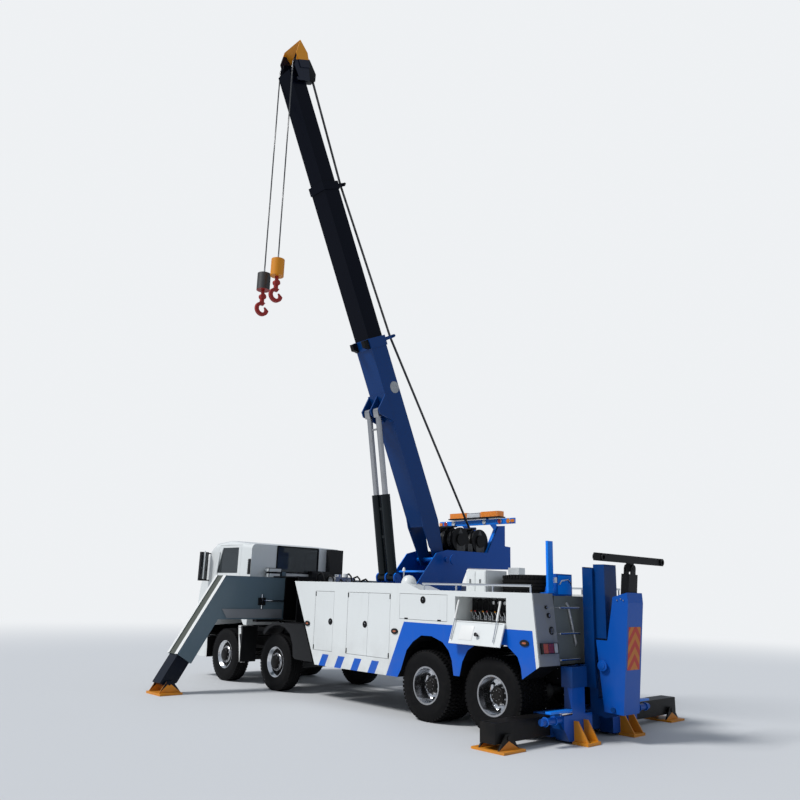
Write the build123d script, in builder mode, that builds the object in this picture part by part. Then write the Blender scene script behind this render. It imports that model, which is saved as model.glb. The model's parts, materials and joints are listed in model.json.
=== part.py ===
from build123d import *
import math
import os

os.makedirs("parts", exist_ok=True)

# Frame of the vehicle: +X forward, +Y left, +Z up, millimetres.
# The origin is on the road under the middle of the rearmost axle.

# Wheels and axles
AXLE_1_X = 7461.0
AXLE_2_X = 5557.0
AXLE_3_X = 1349.0
AXLE_4_X = 0.0
TYRE_R = 535.0
TYRE_W = 310.0
TWIN_TYRE_W = 290.0
TWIN_GAP = 50.0
RIM_R = 285.0
RIM_FLANGE_R = 307.0
FRONT_WHEEL_Y = 1035.0
TWIN_WHEEL_Y = 900.0
KINGPIN_Y = 790.0
SPINDLE_R = 40.0
KINGPIN_R = 25.0
RUNNING_GAP = 0.05
HAND_HOLE_R = 24.0
HAND_HOLE_PCD_R = 205.0

# Chassis
RAIL_Y = 425.0
RAIL_H = 290.0
RAIL_FLANGE = 80.0
RAIL_T = 9.0
RAIL_TOP_Z = 1010.0
RAIL_FRONT_X = 8300.0
RAIL_REAR_X = -900.0

# Cab
CAB_REAR_X = 6640.0
CAB_HALF_W = 1220.0
CAB_WALL = 30.0
CAB_FLOOR_Z = 1180.0
DOOR_GAP = 6.0
HINGE_R = 3.2
HINGE_LAP = 3.0
HINGE_OUT = 2.0
HINGE_L = 80.0
HINGE_LEAF = 22.0
GLASS_T = 6.0

# White side bodies
BODY_Y = 1250.0
BODY_INNER_Y = 955.0
BODY_REAR_INNER_Y = 760.0
BODY_SPLIT_X = 1740.0
BODY_TOP_Z = 2094.0
BODY_REAR_TOP_Z = 1996.0
SHELF_Z = BODY_REAR_TOP_Z - 30
BODY_BOTTOM_Z = 607.0
LOCKER_WALL = 25.0
LOCKER_DOOR_T = 22.0
DECK_Z = 1320.0

# Turret and boom
TURRET_X = 2750.0
CHEEK_X = 400.0
CHEEK_T = 20.0
BOOM_ANGLE = 64.8
BOOM_OFFSET = 1437.0
PIVOT_Y = -300.0
PIVOT_Z = 2560.0
PIVOT_R = 45.0
FOOT_PIN_Y = 800.0
FOOT_PIN_Z = 2200.0
FOOT_PIN_R = 30.0
ROD_PIN_T = 5228.0
ROD_PIN_DROP = 414.0
ROD_PIN_R = 30.0
EYE_CLEARANCE = 1.0
CYLINDER_X = 120.0
LUG_X = 215.0
BARREL_R = 85.0
ROD_R = 52.0
BASE_W = 420.0
BASE_H = 400.0
MID_W = 378.0
MID_H = 358.0
TIP_W = 338.0
TIP_H = 318.0
BOOM_WALL = 9.0
PAD_GAP = 0.3
PAD_L = 120.0
BASE_FROM_T = 2890.0
EAR_TO_T = 3070.0
BASE_TO_T = 6550.0
MID_FROM_T = 5850.0
MID_TO_T = 9530.0
TIP_FROM_T = 8850.0
TIP_TO_T = 11620.0
SHEAVE_X = 200.0
SHEAVE_R = 150.0
SHEAVE_Y = 3590.0
SHEAVE_Z = 11250.0
ROPE_R = 9.0

# Front outriggers: the two arms lie side by side in one double housing
ARM_W = 400.0
LEFT_ARM_X = 6000.0
RIGHT_ARM_X = 5550.0
ARM_INNER_Y = 330.0
ARM_TOP_Z = 2165.0
ARM_BOTTOM_Z = 1326.0
HOUSING_Y = 765.0
HOUSING_WALL = 20.0
ARM_SIDE_GAP = 12.0
LEG_END_Y = 2912.0
LEG_END_Z = 618.0
LEG_ANGLE = 58.5
LEG_H = 340.0
LEG_WALL = 14.0
LEG_SLIDE_GAP = 8.0
LEG_PIN_ALONG = 490.0

# Rear stabiliser: a lifting frame with a sliding beam and foot on each side, and the underlift
STAB_X0 = -845.0
STAB_X1 = -550.0
STAB_Z0 = 80.0
STAB_Z1 = 375.0
STAB_HALF_W = 960.0
STAB_WALL = 16.0
BEAM_GAP = 6.0
LEFT_FOOT_Y = 1920.0
RIGHT_FOOT_Y = -2420.0
STAB_LEG_Y = 600.0
STAB_LEG_X0 = -1062.0
STAB_LEG_X1 = -933.0
STAB_LEG_HALF_W = 157.0
UNDERLIFT_HALF_W = 210.0
FOLD_PIN_X = -1376.0
FOLD_PIN_Z = 438.0

COS_B = math.cos(math.radians(BOOM_ANGLE))
SIN_B = math.sin(math.radians(BOOM_ANGLE))


def side_plane(y):
    """Plane at one Y: sketch x is X, sketch y is Z, extrusion runs towards -Y."""
    return Plane(origin=(0, y, 0), x_dir=(1, 0, 0), z_dir=(0, -1, 0))


def cross_plane(x):
    """Plane at one X: sketch x is Y, sketch y is Z, extrusion runs towards +X."""
    return Plane(origin=(x, 0, 0), x_dir=(0, 1, 0), z_dir=(1, 0, 0))


def boom_point(t, n):
    """Y and Z of a point t along the boom and n above its axis."""
    return (t * COS_B - (BOOM_OFFSET + n) * SIN_B, t * SIN_B + (BOOM_OFFSET + n) * COS_B)


def boom_plane(t):
    """Plane square to the boom at t: sketch y is the boom's upper side."""
    y, z = boom_point(t, 0)
    return Plane(origin=(TURRET_X, y, z), x_dir=(-1, 0, 0), z_dir=(0, COS_B, SIN_B))


def slab(y0, y1, points):
    """Prism between two Y values over a side outline of X and Z points."""
    with BuildSketch(side_plane(y1)) as outline_sketch:
        with BuildLine():
            Polyline(*points, close=True)
        make_face()
    extrude(outline_sketch.sketch, amount=y1 - y0)


def cut_slab(y0, y1, points):
    """Removes the prism between two Y values over a side outline."""
    with BuildSketch(side_plane(y1)) as outline_sketch:
        with BuildLine():
            Polyline(*points, close=True)
        make_face()
    extrude(outline_sketch.sketch, amount=y1 - y0, mode=Mode.SUBTRACT)


def plate(x0, x1, points):
    """Prism between two X values over a cross outline of Y and Z points."""
    with BuildSketch(cross_plane(x0)) as outline_sketch:
        with BuildLine():
            Polyline(*points, close=True)
        make_face()
    extrude(outline_sketch.sketch, amount=x1 - x0)


def block(x0, x1, y0, y1, z0, z1, mode=Mode.ADD):
    """Box between two corners."""
    with Locations(((x0 + x1) / 2, (y0 + y1) / 2, (z0 + z1) / 2)):
        Box(x1 - x0, y1 - y0, z1 - z0, mode=mode)


def rod_x(x0, x1, y, z, r, mode=Mode.ADD):
    """Round bar along X."""
    with Locations(((x0 + x1) / 2, y, z)):
        Cylinder(r, x1 - x0, rotation=(0, 90, 0), mode=mode)


def rod_y(x, y0, y1, z, r, mode=Mode.ADD):
    """Round bar along Y."""
    with Locations((x, (y0 + y1) / 2, z)):
        Cylinder(r, y1 - y0, rotation=(90, 0, 0), mode=mode)


def rod_z(x, y, z0, z1, r, mode=Mode.ADD):
    """Round bar along Z."""
    with Locations((x, y, (z0 + z1) / 2)):
        Cylinder(r, z1 - z0, mode=mode)


def hinge_z(x, y, z_list, leaf):
    """Adds upright hinge pins, each with a leaf that laps the door's face on the side of leaf."""
    side = 1 if y > 0 else -1
    x0, x1 = sorted((x, x + leaf))
    y0, y1 = sorted((y - side * HINGE_LAP, y))
    for z in z_list:
        rod_z(x, y, z, z + HINGE_L, HINGE_R)
        block(x0, x1, y0, y1, z, z + HINGE_L)


# Steered wheels: tyre, rim, disc and hub turned as one about the axle
front_half = TYRE_W / 2
front_tyre_outline = [
    (-front_half + 25, RIM_R), (-front_half + 4, 340), (-front_half, 420), (-front_half + 14, 500),
    (-front_half + 46, TYRE_R), (front_half - 46, TYRE_R), (front_half - 14, 500), (front_half, 420),
    (front_half - 4, 340), (front_half - 25, RIM_R),
]
front_rim_outline = [
    (-front_half + 12, 262), (-front_half + 12, RIM_FLANGE_R), (-front_half + 26, RIM_FLANGE_R),
    (-front_half + 34, RIM_R), (front_half - 34, RIM_R), (front_half - 26, RIM_FLANGE_R),
    (front_half - 12, RIM_FLANGE_R), (front_half - 12, 262), (60, 262), (95, 180), (118, 160),
    (118, 128), (165, 120), (178, 96), (178, 0), (90, 0), (90, SPINDLE_R + RUNNING_GAP),
    (-60, SPINDLE_R + RUNNING_GAP), (-60, 128), (100, 128), (100, 156), (78, 172), (40, 250), (40, 262),
]


def front_wheel(axle_x, side):
    """Adds one steered wheel to the part being built."""
    with BuildSketch(cross_plane(axle_x)) as outline_sketch:
        for outline in (front_tyre_outline, front_rim_outline):
            with BuildLine():
                Polyline(*[(side * (FRONT_WHEEL_Y + u), TYRE_R + v) for u, v in outline], close=True)
            make_face()
    revolve(outline_sketch.sketch, axis=Axis((axle_x, 0, TYRE_R), (0, 1, 0)), revolution_arc=360)
    hole_plane = Plane(origin=(axle_x, side * (FRONT_WHEEL_Y + 30), TYRE_R), x_dir=(1, 0, 0), z_dir=(0, side, 0))
    with BuildSketch(hole_plane) as outline_sketch:
        with PolarLocations(HAND_HOLE_PCD_R, 10):
            Circle(HAND_HOLE_R)
    extrude(outline_sketch.sketch, amount=90, mode=Mode.SUBTRACT)


# Driven wheels: two tyres back to back on one hub
twin_centre = (TWIN_TYRE_W + TWIN_GAP) / 2
twin_half = TWIN_TYRE_W / 2
twin_tyre_outline = [
    (-twin_half + 22, RIM_R), (-twin_half + 4, 340), (-twin_half, 420), (-twin_half + 14, 500),
    (-twin_half + 44, TYRE_R), (twin_half - 44, TYRE_R), (twin_half - 14, 500), (twin_half, 420),
    (twin_half - 4, 340), (twin_half - 22, RIM_R),
]
twin_rim_outline = [
    (-twin_centre - twin_half + 10, 262), (-twin_centre - twin_half + 10, RIM_FLANGE_R),
    (-twin_centre - twin_half + 24, RIM_FLANGE_R), (-twin_centre - twin_half + 32, RIM_R),
    (-twin_centre + twin_half - 32, RIM_R), (-twin_centre + twin_half - 24, RIM_FLANGE_R),
    (-twin_centre + twin_half - 10, RIM_FLANGE_R), (-twin_centre + twin_half - 10, 274),
    (twin_centre - twin_half + 10, 274), (twin_centre - twin_half + 10, RIM_FLANGE_R),
    (twin_centre - twin_half + 24, RIM_FLANGE_R), (twin_centre - twin_half + 32, RIM_R),
    (twin_centre + twin_half - 32, RIM_R), (twin_centre + twin_half - 24, RIM_FLANGE_R),
    (twin_centre + twin_half - 10, RIM_FLANGE_R), (twin_centre + twin_half - 10, 262),
    (60, 262), (24, 190), (18, 150), (150, 140), (170, 120), (196, 112), (204, 90), (204, 0), (120, 0),
    (120, SPINDLE_R + 20 + RUNNING_GAP), (-190, SPINDLE_R + 20 + RUNNING_GAP), (-190, 150), (-18, 150),
    (-24, 190), (-60, 262),
]


def twin_wheel(axle_x, side):
    """Adds one twin wheel to the part being built."""
    with BuildSketch(cross_plane(axle_x)) as outline_sketch:
        for centre in (-twin_centre, twin_centre):
            with BuildLine():
                Polyline(
                    *[(side * (TWIN_WHEEL_Y + centre + u), TYRE_R + v) for u, v in twin_tyre_outline],
                    close=True,
                )
            make_face()
        with BuildLine():
            Polyline(*[(side * (TWIN_WHEEL_Y + u), TYRE_R + v) for u, v in twin_rim_outline], close=True)
        make_face()
    revolve(outline_sketch.sketch, axis=Axis((axle_x, 0, TYRE_R), (0, 1, 0)), revolution_arc=360)
    hole_plane = Plane(origin=(axle_x, side * (TWIN_WHEEL_Y - 60), TYRE_R), x_dir=(1, 0, 0), z_dir=(0, side, 0))
    with BuildSketch(hole_plane) as outline_sketch:
        with PolarLocations(HAND_HOLE_PCD_R + 22, 10):
            Circle(HAND_HOLE_R)
    extrude(outline_sketch.sketch, amount=120, mode=Mode.SUBTRACT)


with BuildPart() as wheel_1_left:
    front_wheel(AXLE_1_X, 1)
wheel_1_left.part.label = "wheel_1_left"
export_step(wheel_1_left.part, "parts/wheel_1_left.step")

with BuildPart() as wheel_1_right:
    front_wheel(AXLE_1_X, -1)
wheel_1_right.part.label = "wheel_1_right"
export_step(wheel_1_right.part, "parts/wheel_1_right.step")

with BuildPart() as wheel_2_left:
    front_wheel(AXLE_2_X, 1)
wheel_2_left.part.label = "wheel_2_left"
export_step(wheel_2_left.part, "parts/wheel_2_left.step")

with BuildPart() as wheel_2_right:
    front_wheel(AXLE_2_X, -1)
wheel_2_right.part.label = "wheel_2_right"
export_step(wheel_2_right.part, "parts/wheel_2_right.step")

with BuildPart() as wheel_3_left:
    twin_wheel(AXLE_3_X, 1)
wheel_3_left.part.label = "wheel_3_left"
export_step(wheel_3_left.part, "parts/wheel_3_left.step")

with BuildPart() as wheel_3_right:
    twin_wheel(AXLE_3_X, -1)
wheel_3_right.part.label = "wheel_3_right"
export_step(wheel_3_right.part, "parts/wheel_3_right.step")

with BuildPart() as wheel_4_left:
    twin_wheel(AXLE_4_X, 1)
wheel_4_left.part.label = "wheel_4_left"
export_step(wheel_4_left.part, "parts/wheel_4_left.step")

with BuildPart() as wheel_4_right:
    twin_wheel(AXLE_4_X, -1)
wheel_4_right.part.label = "wheel_4_right"
export_step(wheel_4_right.part, "parts/wheel_4_right.step")


# Steering knuckles: a fork round the axle eye, a kingpin and a wheel spindle
def knuckle(axle_x, side):
    """Adds one knuckle to the part being built."""
    y = side * KINGPIN_Y
    rod_z(axle_x, y, TYRE_R - 130, TYRE_R + 130, KINGPIN_R)
    for z in (-115, 115):
        block(axle_x - 50, axle_x + 50, y - 50, y + 50, TYRE_R + z - 20, TYRE_R + z + 20)
    inner, outer = sorted((y + side * 62, y + side * 100))
    block(axle_x - 90, axle_x + 90, inner, outer, TYRE_R - 135, TYRE_R + 135)
    for z in (-115, 115):
        inner, outer = sorted((y + side * 40, y + side * 70))
        block(axle_x - 50, axle_x + 50, inner, outer, TYRE_R + z - 20, TYRE_R + z + 20)
    inner, outer = sorted((y + side * 95, y + side * 330))
    rod_y(axle_x, inner, outer, TYRE_R, SPINDLE_R)


with BuildPart() as knuckle_1_left:
    knuckle(AXLE_1_X, 1)
knuckle_1_left.part.label = "knuckle_1_left"
export_step(knuckle_1_left.part, "parts/knuckle_1_left.step")

with BuildPart() as knuckle_1_right:
    knuckle(AXLE_1_X, -1)
knuckle_1_right.part.label = "knuckle_1_right"
export_step(knuckle_1_right.part, "parts/knuckle_1_right.step")

with BuildPart() as knuckle_2_left:
    knuckle(AXLE_2_X, 1)
knuckle_2_left.part.label = "knuckle_2_left"
export_step(knuckle_2_left.part, "parts/knuckle_2_left.step")

with BuildPart() as knuckle_2_right:
    knuckle(AXLE_2_X, -1)
knuckle_2_right.part.label = "knuckle_2_right"
export_step(knuckle_2_right.part, "parts/knuckle_2_right.step")

# Driveline: dropped front beams, engine, gearbox, prop shafts and driven axles
with BuildPart() as driveline:
    for axle_x in (AXLE_1_X, AXLE_2_X):
        plate(axle_x - 45, axle_x + 45, [
            (-KINGPIN_Y - 38, TYRE_R - 60), (-KINGPIN_Y - 38, TYRE_R + 60), (-KINGPIN_Y + 60, TYRE_R + 60),
            (-560, TYRE_R - 35), (560, TYRE_R - 35), (KINGPIN_Y - 60, TYRE_R + 60),
            (KINGPIN_Y + 38, TYRE_R + 60), (KINGPIN_Y + 38, TYRE_R - 60), (KINGPIN_Y - 40, TYRE_R - 60),
            (580, TYRE_R - 135), (-580, TYRE_R - 135), (-KINGPIN_Y + 40, TYRE_R - 60),
        ])
        for side in (-1, 1):
            rod_z(axle_x, side * KINGPIN_Y, TYRE_R - 70, TYRE_R + 70, KINGPIN_R + RUNNING_GAP, Mode.SUBTRACT)
    for axle_x in (AXLE_3_X, AXLE_4_X):
        rod_y(axle_x, -700, 700, TYRE_R, 85)
        rod_y(axle_x, -1010, 1010, TYRE_R, SPINDLE_R + 20)
        with Locations((axle_x, 60, TYRE_R)):
            Sphere(210)
    block(6900, 8090, -RAIL_Y + RAIL_FLANGE, RAIL_Y - RAIL_FLANGE, 640, 1090)
    block(6100, 6900, -190, 190, 640, 905)
    rod_x(AXLE_3_X + 150, 6150, 0, 760, 55)
    rod_x(AXLE_4_X + 150, AXLE_3_X - 150, 60, TYRE_R + 20, 50)
driveline.part.label = "driveline"
export_step(driveline.part, "parts/driveline.step")

# Frame: rails, crossmembers, slewing pedestal, front and rear outrigger housings, mast guide
crossmember_x = (8200.0, 6750.0, 4700.0, 3900.0, 2000.0, 680.0, -400.0)
with BuildPart() as frame:
    for side in (-1, 1):
        web_in, web_out = sorted((side * RAIL_Y, side * (RAIL_Y - RAIL_T)))
        block(RAIL_REAR_X, RAIL_FRONT_X, web_in, web_out, RAIL_TOP_Z - RAIL_H, RAIL_TOP_Z)
        for z in (RAIL_TOP_Z - RAIL_T, RAIL_TOP_Z - RAIL_H):
            inner, outer = sorted((side * RAIL_Y, side * (RAIL_Y - RAIL_FLANGE)))
            block(RAIL_REAR_X, RAIL_FRONT_X, inner, outer, z, z + RAIL_T)
    for x in crossmember_x:
        block(x - 60, x + 60, -RAIL_Y + RAIL_T, RAIL_Y - RAIL_T, RAIL_TOP_Z - 90, RAIL_TOP_Z - RAIL_T)
    block(1850, 3650, -RAIL_Y, RAIL_Y, RAIL_TOP_Z, 1290)
    rod_z(TURRET_X, 0, 1290, 1420, 560)
    # front outrigger housing: two cells open at both ends
    block(RIGHT_ARM_X - ARM_SIDE_GAP - HOUSING_WALL, LEFT_ARM_X + ARM_W + ARM_SIDE_GAP + HOUSING_WALL,
          -HOUSING_Y, HOUSING_Y, ARM_BOTTOM_Z - 32, ARM_TOP_Z + 32)
    for x in (LEFT_ARM_X, RIGHT_ARM_X):
        block(x - ARM_SIDE_GAP, x + ARM_W + ARM_SIDE_GAP, -HOUSING_Y, HOUSING_Y, ARM_BOTTOM_Z - 12,
              ARM_TOP_Z + 12, Mode.SUBTRACT)
    block(RIGHT_ARM_X + 20, LEFT_ARM_X + ARM_W - 20, -RAIL_Y, RAIL_Y, RAIL_TOP_Z, ARM_BOTTOM_Z - 32)
    # sleeves of the rear stabiliser's legs
    for side in (-1, 1):
        y0, y1 = sorted((side * (STAB_LEG_Y - STAB_LEG_HALF_W - 22), side * (STAB_LEG_Y + STAB_LEG_HALF_W + 22)))
        block(-1090, -905, y0, y1, 730, 1000)
        block(STAB_LEG_X0 - PAD_GAP, STAB_LEG_X1 + PAD_GAP, y0 + 22 - PAD_GAP, y1 - 22 + PAD_GAP, 730, 1000, Mode.SUBTRACT)
        y0, y1 = sorted((side * 290, side * (STAB_LEG_Y - STAB_LEG_HALF_W - 20)))
        block(-1000, RAIL_REAR_X + 2, y0, y1, 730, 900)
    # springs between the axles and the rails
    for side in (-1, 1):
        y0, y1 = sorted((side * 352, side * 418))
        for x in (AXLE_1_X, AXLE_2_X):
            slab(y0, y1, [
                (x - 640, 724), (x - 570, 724), (x - 70, 560), (x + 70, 560), (x + 570, 724), (x + 640, 724),
                (x + 100, TYRE_R - 35), (x - 100, TYRE_R - 35),
            ])
        slab(y0, y1, [
            (AXLE_4_X - 130, 620), (AXLE_3_X + 130, 620), (AXLE_3_X + 130, 660), (AXLE_3_X - 560, 724),
            (AXLE_4_X + 560, 724), (AXLE_4_X - 130, 660),
        ])
    # cab mounts
    for side in (-1, 1):
        y0, y1 = sorted((side * (RAIL_Y - RAIL_FLANGE), side * RAIL_Y))
        block(8140, 8260, y0, y1, RAIL_TOP_Z, 1100)
        block(6650, 6750, y0, y1, RAIL_TOP_Z, 1180)
    # mast guide behind the rails
    block(-960, RAIL_REAR_X, -300, 300, 730, RAIL_TOP_Z)
    for side in (-1, 1):
        inner, outer = sorted((side * 175, side * 215))
        block(-1100, -930, inner, outer, 700, 2380)
        inner, outer = sorted((side * 150, side * 215))
        block(-960, -930, inner, outer, 700, 2400)
    block(-960, -930, -200, 200, 2300, 2400)
frame.part.label = "frame"
export_step(frame.part, "parts/frame.step")

# Guards: black wheel arches of the steered axles, tanks, battery box and air intake stack
with BuildPart() as guards:
    for side in (-1, 1):
        y0, y1 = sorted((side * 850, side * 1225))
        slab(y0, y1, [
            (5990, 1075), (5880, 1190), (5680, 1262), (5400, 1290), (4640, 1290), (4560, 1180), (4420, 900),
            (4290, 640), (4560, 640), (4860, 650), (4920, 690), (4950, 900), (5060, 1095), (5250, 1205),
            (5430, 1240), (5620, 1225), (5780, 1160), (5945, 1030),
        ])
        slab(y0, y1, [(6770, 432), (6795, 432), (6797, 750), (6925, 1140), (6890, 1150), (6760, 1150)])
        y0, y1 = sorted((side * RAIL_Y, side * 860))
        rod_y(6850, y0, y1, 940, 20)
        y0, y1 = sorted((side * RAIL_Y, side * 925))
        block(2300, 3900, y0, y1, 620, 1240)
    block(6490, CAB_REAR_X, -1180, -800, 1200, 2840)
guards.part.label = "guards"
export_step(guards.part, "parts/guards.step")

# Cab skin: hollow shell with rounded roof edges, split where doors and panes sit
cab_outline = [
    (CAB_REAR_X, 1180), (CAB_REAR_X, 2860), (7600, 2950), (8180, 2900), (8330, 2800), (8700, 1950),
    (8760, 1500), (8760, 1100), (8120, 1100), (8030, 1250), (7800, 1330), (6900, 1330), (6760, 1180),
]
cab_inside = [
    (CAB_REAR_X + CAB_WALL, 1400), (CAB_REAR_X + CAB_WALL, 2830), (7600, 2915), (8165, 2868), (8300, 2780),
    (8665, 1945), (8722, 1500), (8722, 1400),
]
door_front_outline = [
    (7080, 1360), (7060, 1500), (7060, 2840), (7960, 2840), (8200, 2160), (8240, 1960), (8240, 1360),
]
window_outline = [(7165, 2240), (7165, 2790), (7830, 2790), (8040, 2240)]
WINDSCREEN = Plane(origin=(8515, 0, 2375), x_dir=(0, 1, 0), z_dir=(0.9171, 0, 0.3986))


def cab_skin():
    """Adds the whole cab skin with no openings."""
    slab(-CAB_HALF_W, CAB_HALF_W, cab_outline)
    top = edges().filter_by(Plane.XZ).filter_by(lambda e: e.center().Z > 2700 and abs(e.center().Y) > 1200)
    fillet(top, 110)
    cut_slab(-CAB_HALF_W + CAB_WALL, CAB_HALF_W - CAB_WALL, cab_inside)


def door_prism(side, grow, outline, depth, mode):
    """Prism through one cab side over a side outline grown by a gap."""
    y0, y1 = sorted((side * (CAB_HALF_W - depth), side * (CAB_HALF_W + 5)))
    with BuildSketch(side_plane(y1)) as outline_sketch:
        with BuildLine():
            Polyline(*outline, close=True)
        make_face()
        if grow:
            offset(amount=grow, kind=Kind.INTERSECTION)
    extrude(outline_sketch.sketch, amount=y1 - y0, mode=mode)


with BuildPart() as cab_shell:
    cab_skin()
    for side in (-1, 1):
        door_prism(side, DOOR_GAP, door_front_outline, CAB_WALL + 20, Mode.SUBTRACT)
    # windscreen and rear window openings
    with BuildSketch(WINDSCREEN):
        RectangleRounded(2180, 760, 60)
    extrude(amount=60, both=True, mode=Mode.SUBTRACT)
    with BuildSketch(cross_plane(CAB_REAR_X - 5)):
        with Locations((0, 2565)):
            RectangleRounded(1130, 560, 60)
    extrude(amount=CAB_WALL + 20, mode=Mode.SUBTRACT)
cab_shell.part.label = "cab_shell"
export_step(cab_shell.part, "parts/cab_shell.step")

# Windscreen and rear window
with BuildPart() as cab_glass:
    with BuildSketch(WINDSCREEN.offset(-14)):
        RectangleRounded(2180, 760, 60)
    extrude(amount=GLASS_T)
    with BuildSketch(cross_plane(CAB_REAR_X + 8)):
        with Locations((0, 2565)):
            RectangleRounded(1130, 560, 60)
    extrude(amount=GLASS_T)
cab_glass.part.label = "cab_glass"
export_step(cab_glass.part, "parts/cab_glass.step")


def cab_door(side):
    """Adds one cab door: its piece of the skin, less the window, with a handle."""
    cab_skin()
    door_prism(side, 0, door_front_outline, CAB_WALL + 2, Mode.INTERSECT)
    door_prism(side, 0, window_outline, CAB_WALL + 20, Mode.SUBTRACT)
    y0, y1 = sorted((side * (CAB_HALF_W - 6), side * (CAB_HALF_W + 18)))
    block(7130, 7290, y0, y1, 1960, 1995)
    hinge_z(8240 + DOOR_GAP / 2, side * (CAB_HALF_W + HINGE_OUT), (1400, 1840), -HINGE_LEAF)


with BuildPart() as cab_door_left:
    cab_door(1)
cab_door_left.part.label = "cab_door_left"
export_step(cab_door_left.part, "parts/cab_door_left.step")

with BuildPart() as cab_door_right:
    cab_door(-1)
cab_door_right.part.label = "cab_door_right"
export_step(cab_door_right.part, "parts/cab_door_right.step")

with BuildPart() as door_glass_left:
    slab(CAB_HALF_W - 20, CAB_HALF_W - 20 + GLASS_T, window_outline)
door_glass_left.part.label = "door_glass_left"
export_step(door_glass_left.part, "parts/door_glass_left.step")

with BuildPart() as door_glass_right:
    slab(-CAB_HALF_W + 20 - GLASS_T, -CAB_HALF_W + 20, window_outline)
door_glass_right.part.label = "door_glass_right"
export_step(door_glass_right.part, "parts/door_glass_right.step")

# Seats, dash and steering wheel on the cab floor
with BuildPart() as cab_interior:
    for y in (-620, 620):
        block(7080, 7560, y - 240, y + 240, 1400, 1760)
        slab(y - 230, y + 230, [(7080, 1760), (6960, 2420), (7060, 2430), (7190, 1760)])
        slab(y - 130, y + 130, [(6960, 2415), (6940, 2620), (7020, 2630), (7045, 2415)])
    slab(-1150, 1150, [(8200, 1400), (8080, 1900), (8180, 2030), (8560, 2050), (8640, 1900), (8700, 1400)])
    with Locations(Location((7900, 620, 2060), (0, -62, 0))):
        Torus(210, 16)
        Cylinder(60, 30)
        Box(410, 26, 14)
    with Locations(Location((8015, 620, 2000), (0, -62, 0))):
        Cylinder(26, 250)
cab_interior.part.label = "cab_interior"
export_step(cab_interior.part, "parts/cab_interior.step")

# Front bumper, grille bars, steps and mirrors
HEADLAMP_Y0 = 860.0
HEADLAMP_Y1 = 1160.0
TOW_BORE_Z = 640.0
TOW_BORE_R = 22.0
TOW_BORE_L = 90.0
with BuildPart() as cab_trim:
    slab(-1240, 1240, [(8770, 430), (8850, 470), (8850, 830), (8770, 860), (8570, 860), (8570, 430)])
    for side in (-1, 1):
        y0, y1 = sorted((side * 880, side * 1235))
        slab(y0, y1, [(8140, 430), (8570, 430), (8570, 860), (8170, 860), (8150, 640)])
        y0, y1 = sorted((side * 960, side * 1215))
        block(8190, 8520, y0, y1, 900, 940)
        y0, y1 = sorted((side * 1100, side * 1210))
        block(8300, 8360, y0, y1, 850, 1098)
        y0, y1 = sorted((side * 345, side * 420))
        block(RAIL_FRONT_X, 8590, y0, y1, 740, 850)
        y0, y1 = sorted((side * HEADLAMP_Y0, side * HEADLAMP_Y1))
        block(8838, 8855, y0, y1, 560, 720, Mode.SUBTRACT)
    rod_x(8850 - TOW_BORE_L, 8850, 0, TOW_BORE_Z, TOW_BORE_R, Mode.SUBTRACT)
    block(8762, 8774, -930, 930, 850, 1390)
    for z in (900, 990, 1080, 1170, 1260):
        block(8774, 8800, -900, 900, z, z + 46)
    for side in (-1, 1):
        y0, y1 = sorted((side * CAB_HALF_W, side * 1440))
        block(8350, 8374, y0, y1, 2660, 2684)
        block(8350, 8374, y0, y1, 2060, 2084)
        y0, y1 = sorted((side * 1290, side * 1480))
        slab(y0, y1, [(8330, 2060), (8330, 2700), (8400, 2700), (8400, 2060)])
cab_trim.part.label = "cab_trim"
export_step(cab_trim.part, "parts/cab_trim.step")


def rear_face_point(up, out):
    """X and Z of a point up the slanted rear face of the side bodies and out from it."""
    run_x, run_z = 110.0, BODY_REAR_TOP_Z - 1010.0
    length = math.hypot(run_x, run_z)
    return (-880 + (up * run_x - out * run_z) / length, 1010 + (up * run_z + out * run_x) / length)


# Lamps set into the bumper, body sides and body rear
side_lamps = (("front", 4472.0, 1322.0), ("middle", 2053.0, 1317.0), ("rear", -630.0, 1306.0))
with BuildPart() as lamps:
    for side in (-1, 1):
        y0, y1 = sorted((side * HEADLAMP_Y0, side * HEADLAMP_Y1))
        block(8838, 8856, y0, y1, 560, 720)
        for name, x, z in side_lamps:
            y0, y1 = sorted((side * BODY_Y, side * (BODY_Y + 14)))
            block(x - 55, x + 55, y0, y1, z - 26, z + 26)
        slab(*sorted((side * 830, side * 1180)), [
            rear_face_point(171, 0), rear_face_point(301, 0), rear_face_point(301, 45), rear_face_point(171, 45),
        ])
lamps.part.label = "lamps"
export_step(lamps.part, "parts/lamps.step")

# White side bodies with their lockers
body_outline = [
    (4964, BODY_TOP_Z), (4191, BODY_BOTTOM_Z), (1961, BODY_BOTTOM_Z), (1888, 721), (1760, 1040), (1620, 1180),
    (1431, 1287), (1200, 1290), (960, 1215), (830, 1100), (760, 960), (720, 747), (600, 747), (545, 960),
    (440, 1130), (250, 1240), (0, 1290), (-315, 1250), (-502, 1112), (-560, 971), (-580, 818), (-665, 873),
    (-880, 1010), (-770, BODY_REAR_TOP_Z), (1480, BODY_REAR_TOP_Z), (1800, BODY_TOP_Z),
]
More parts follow.
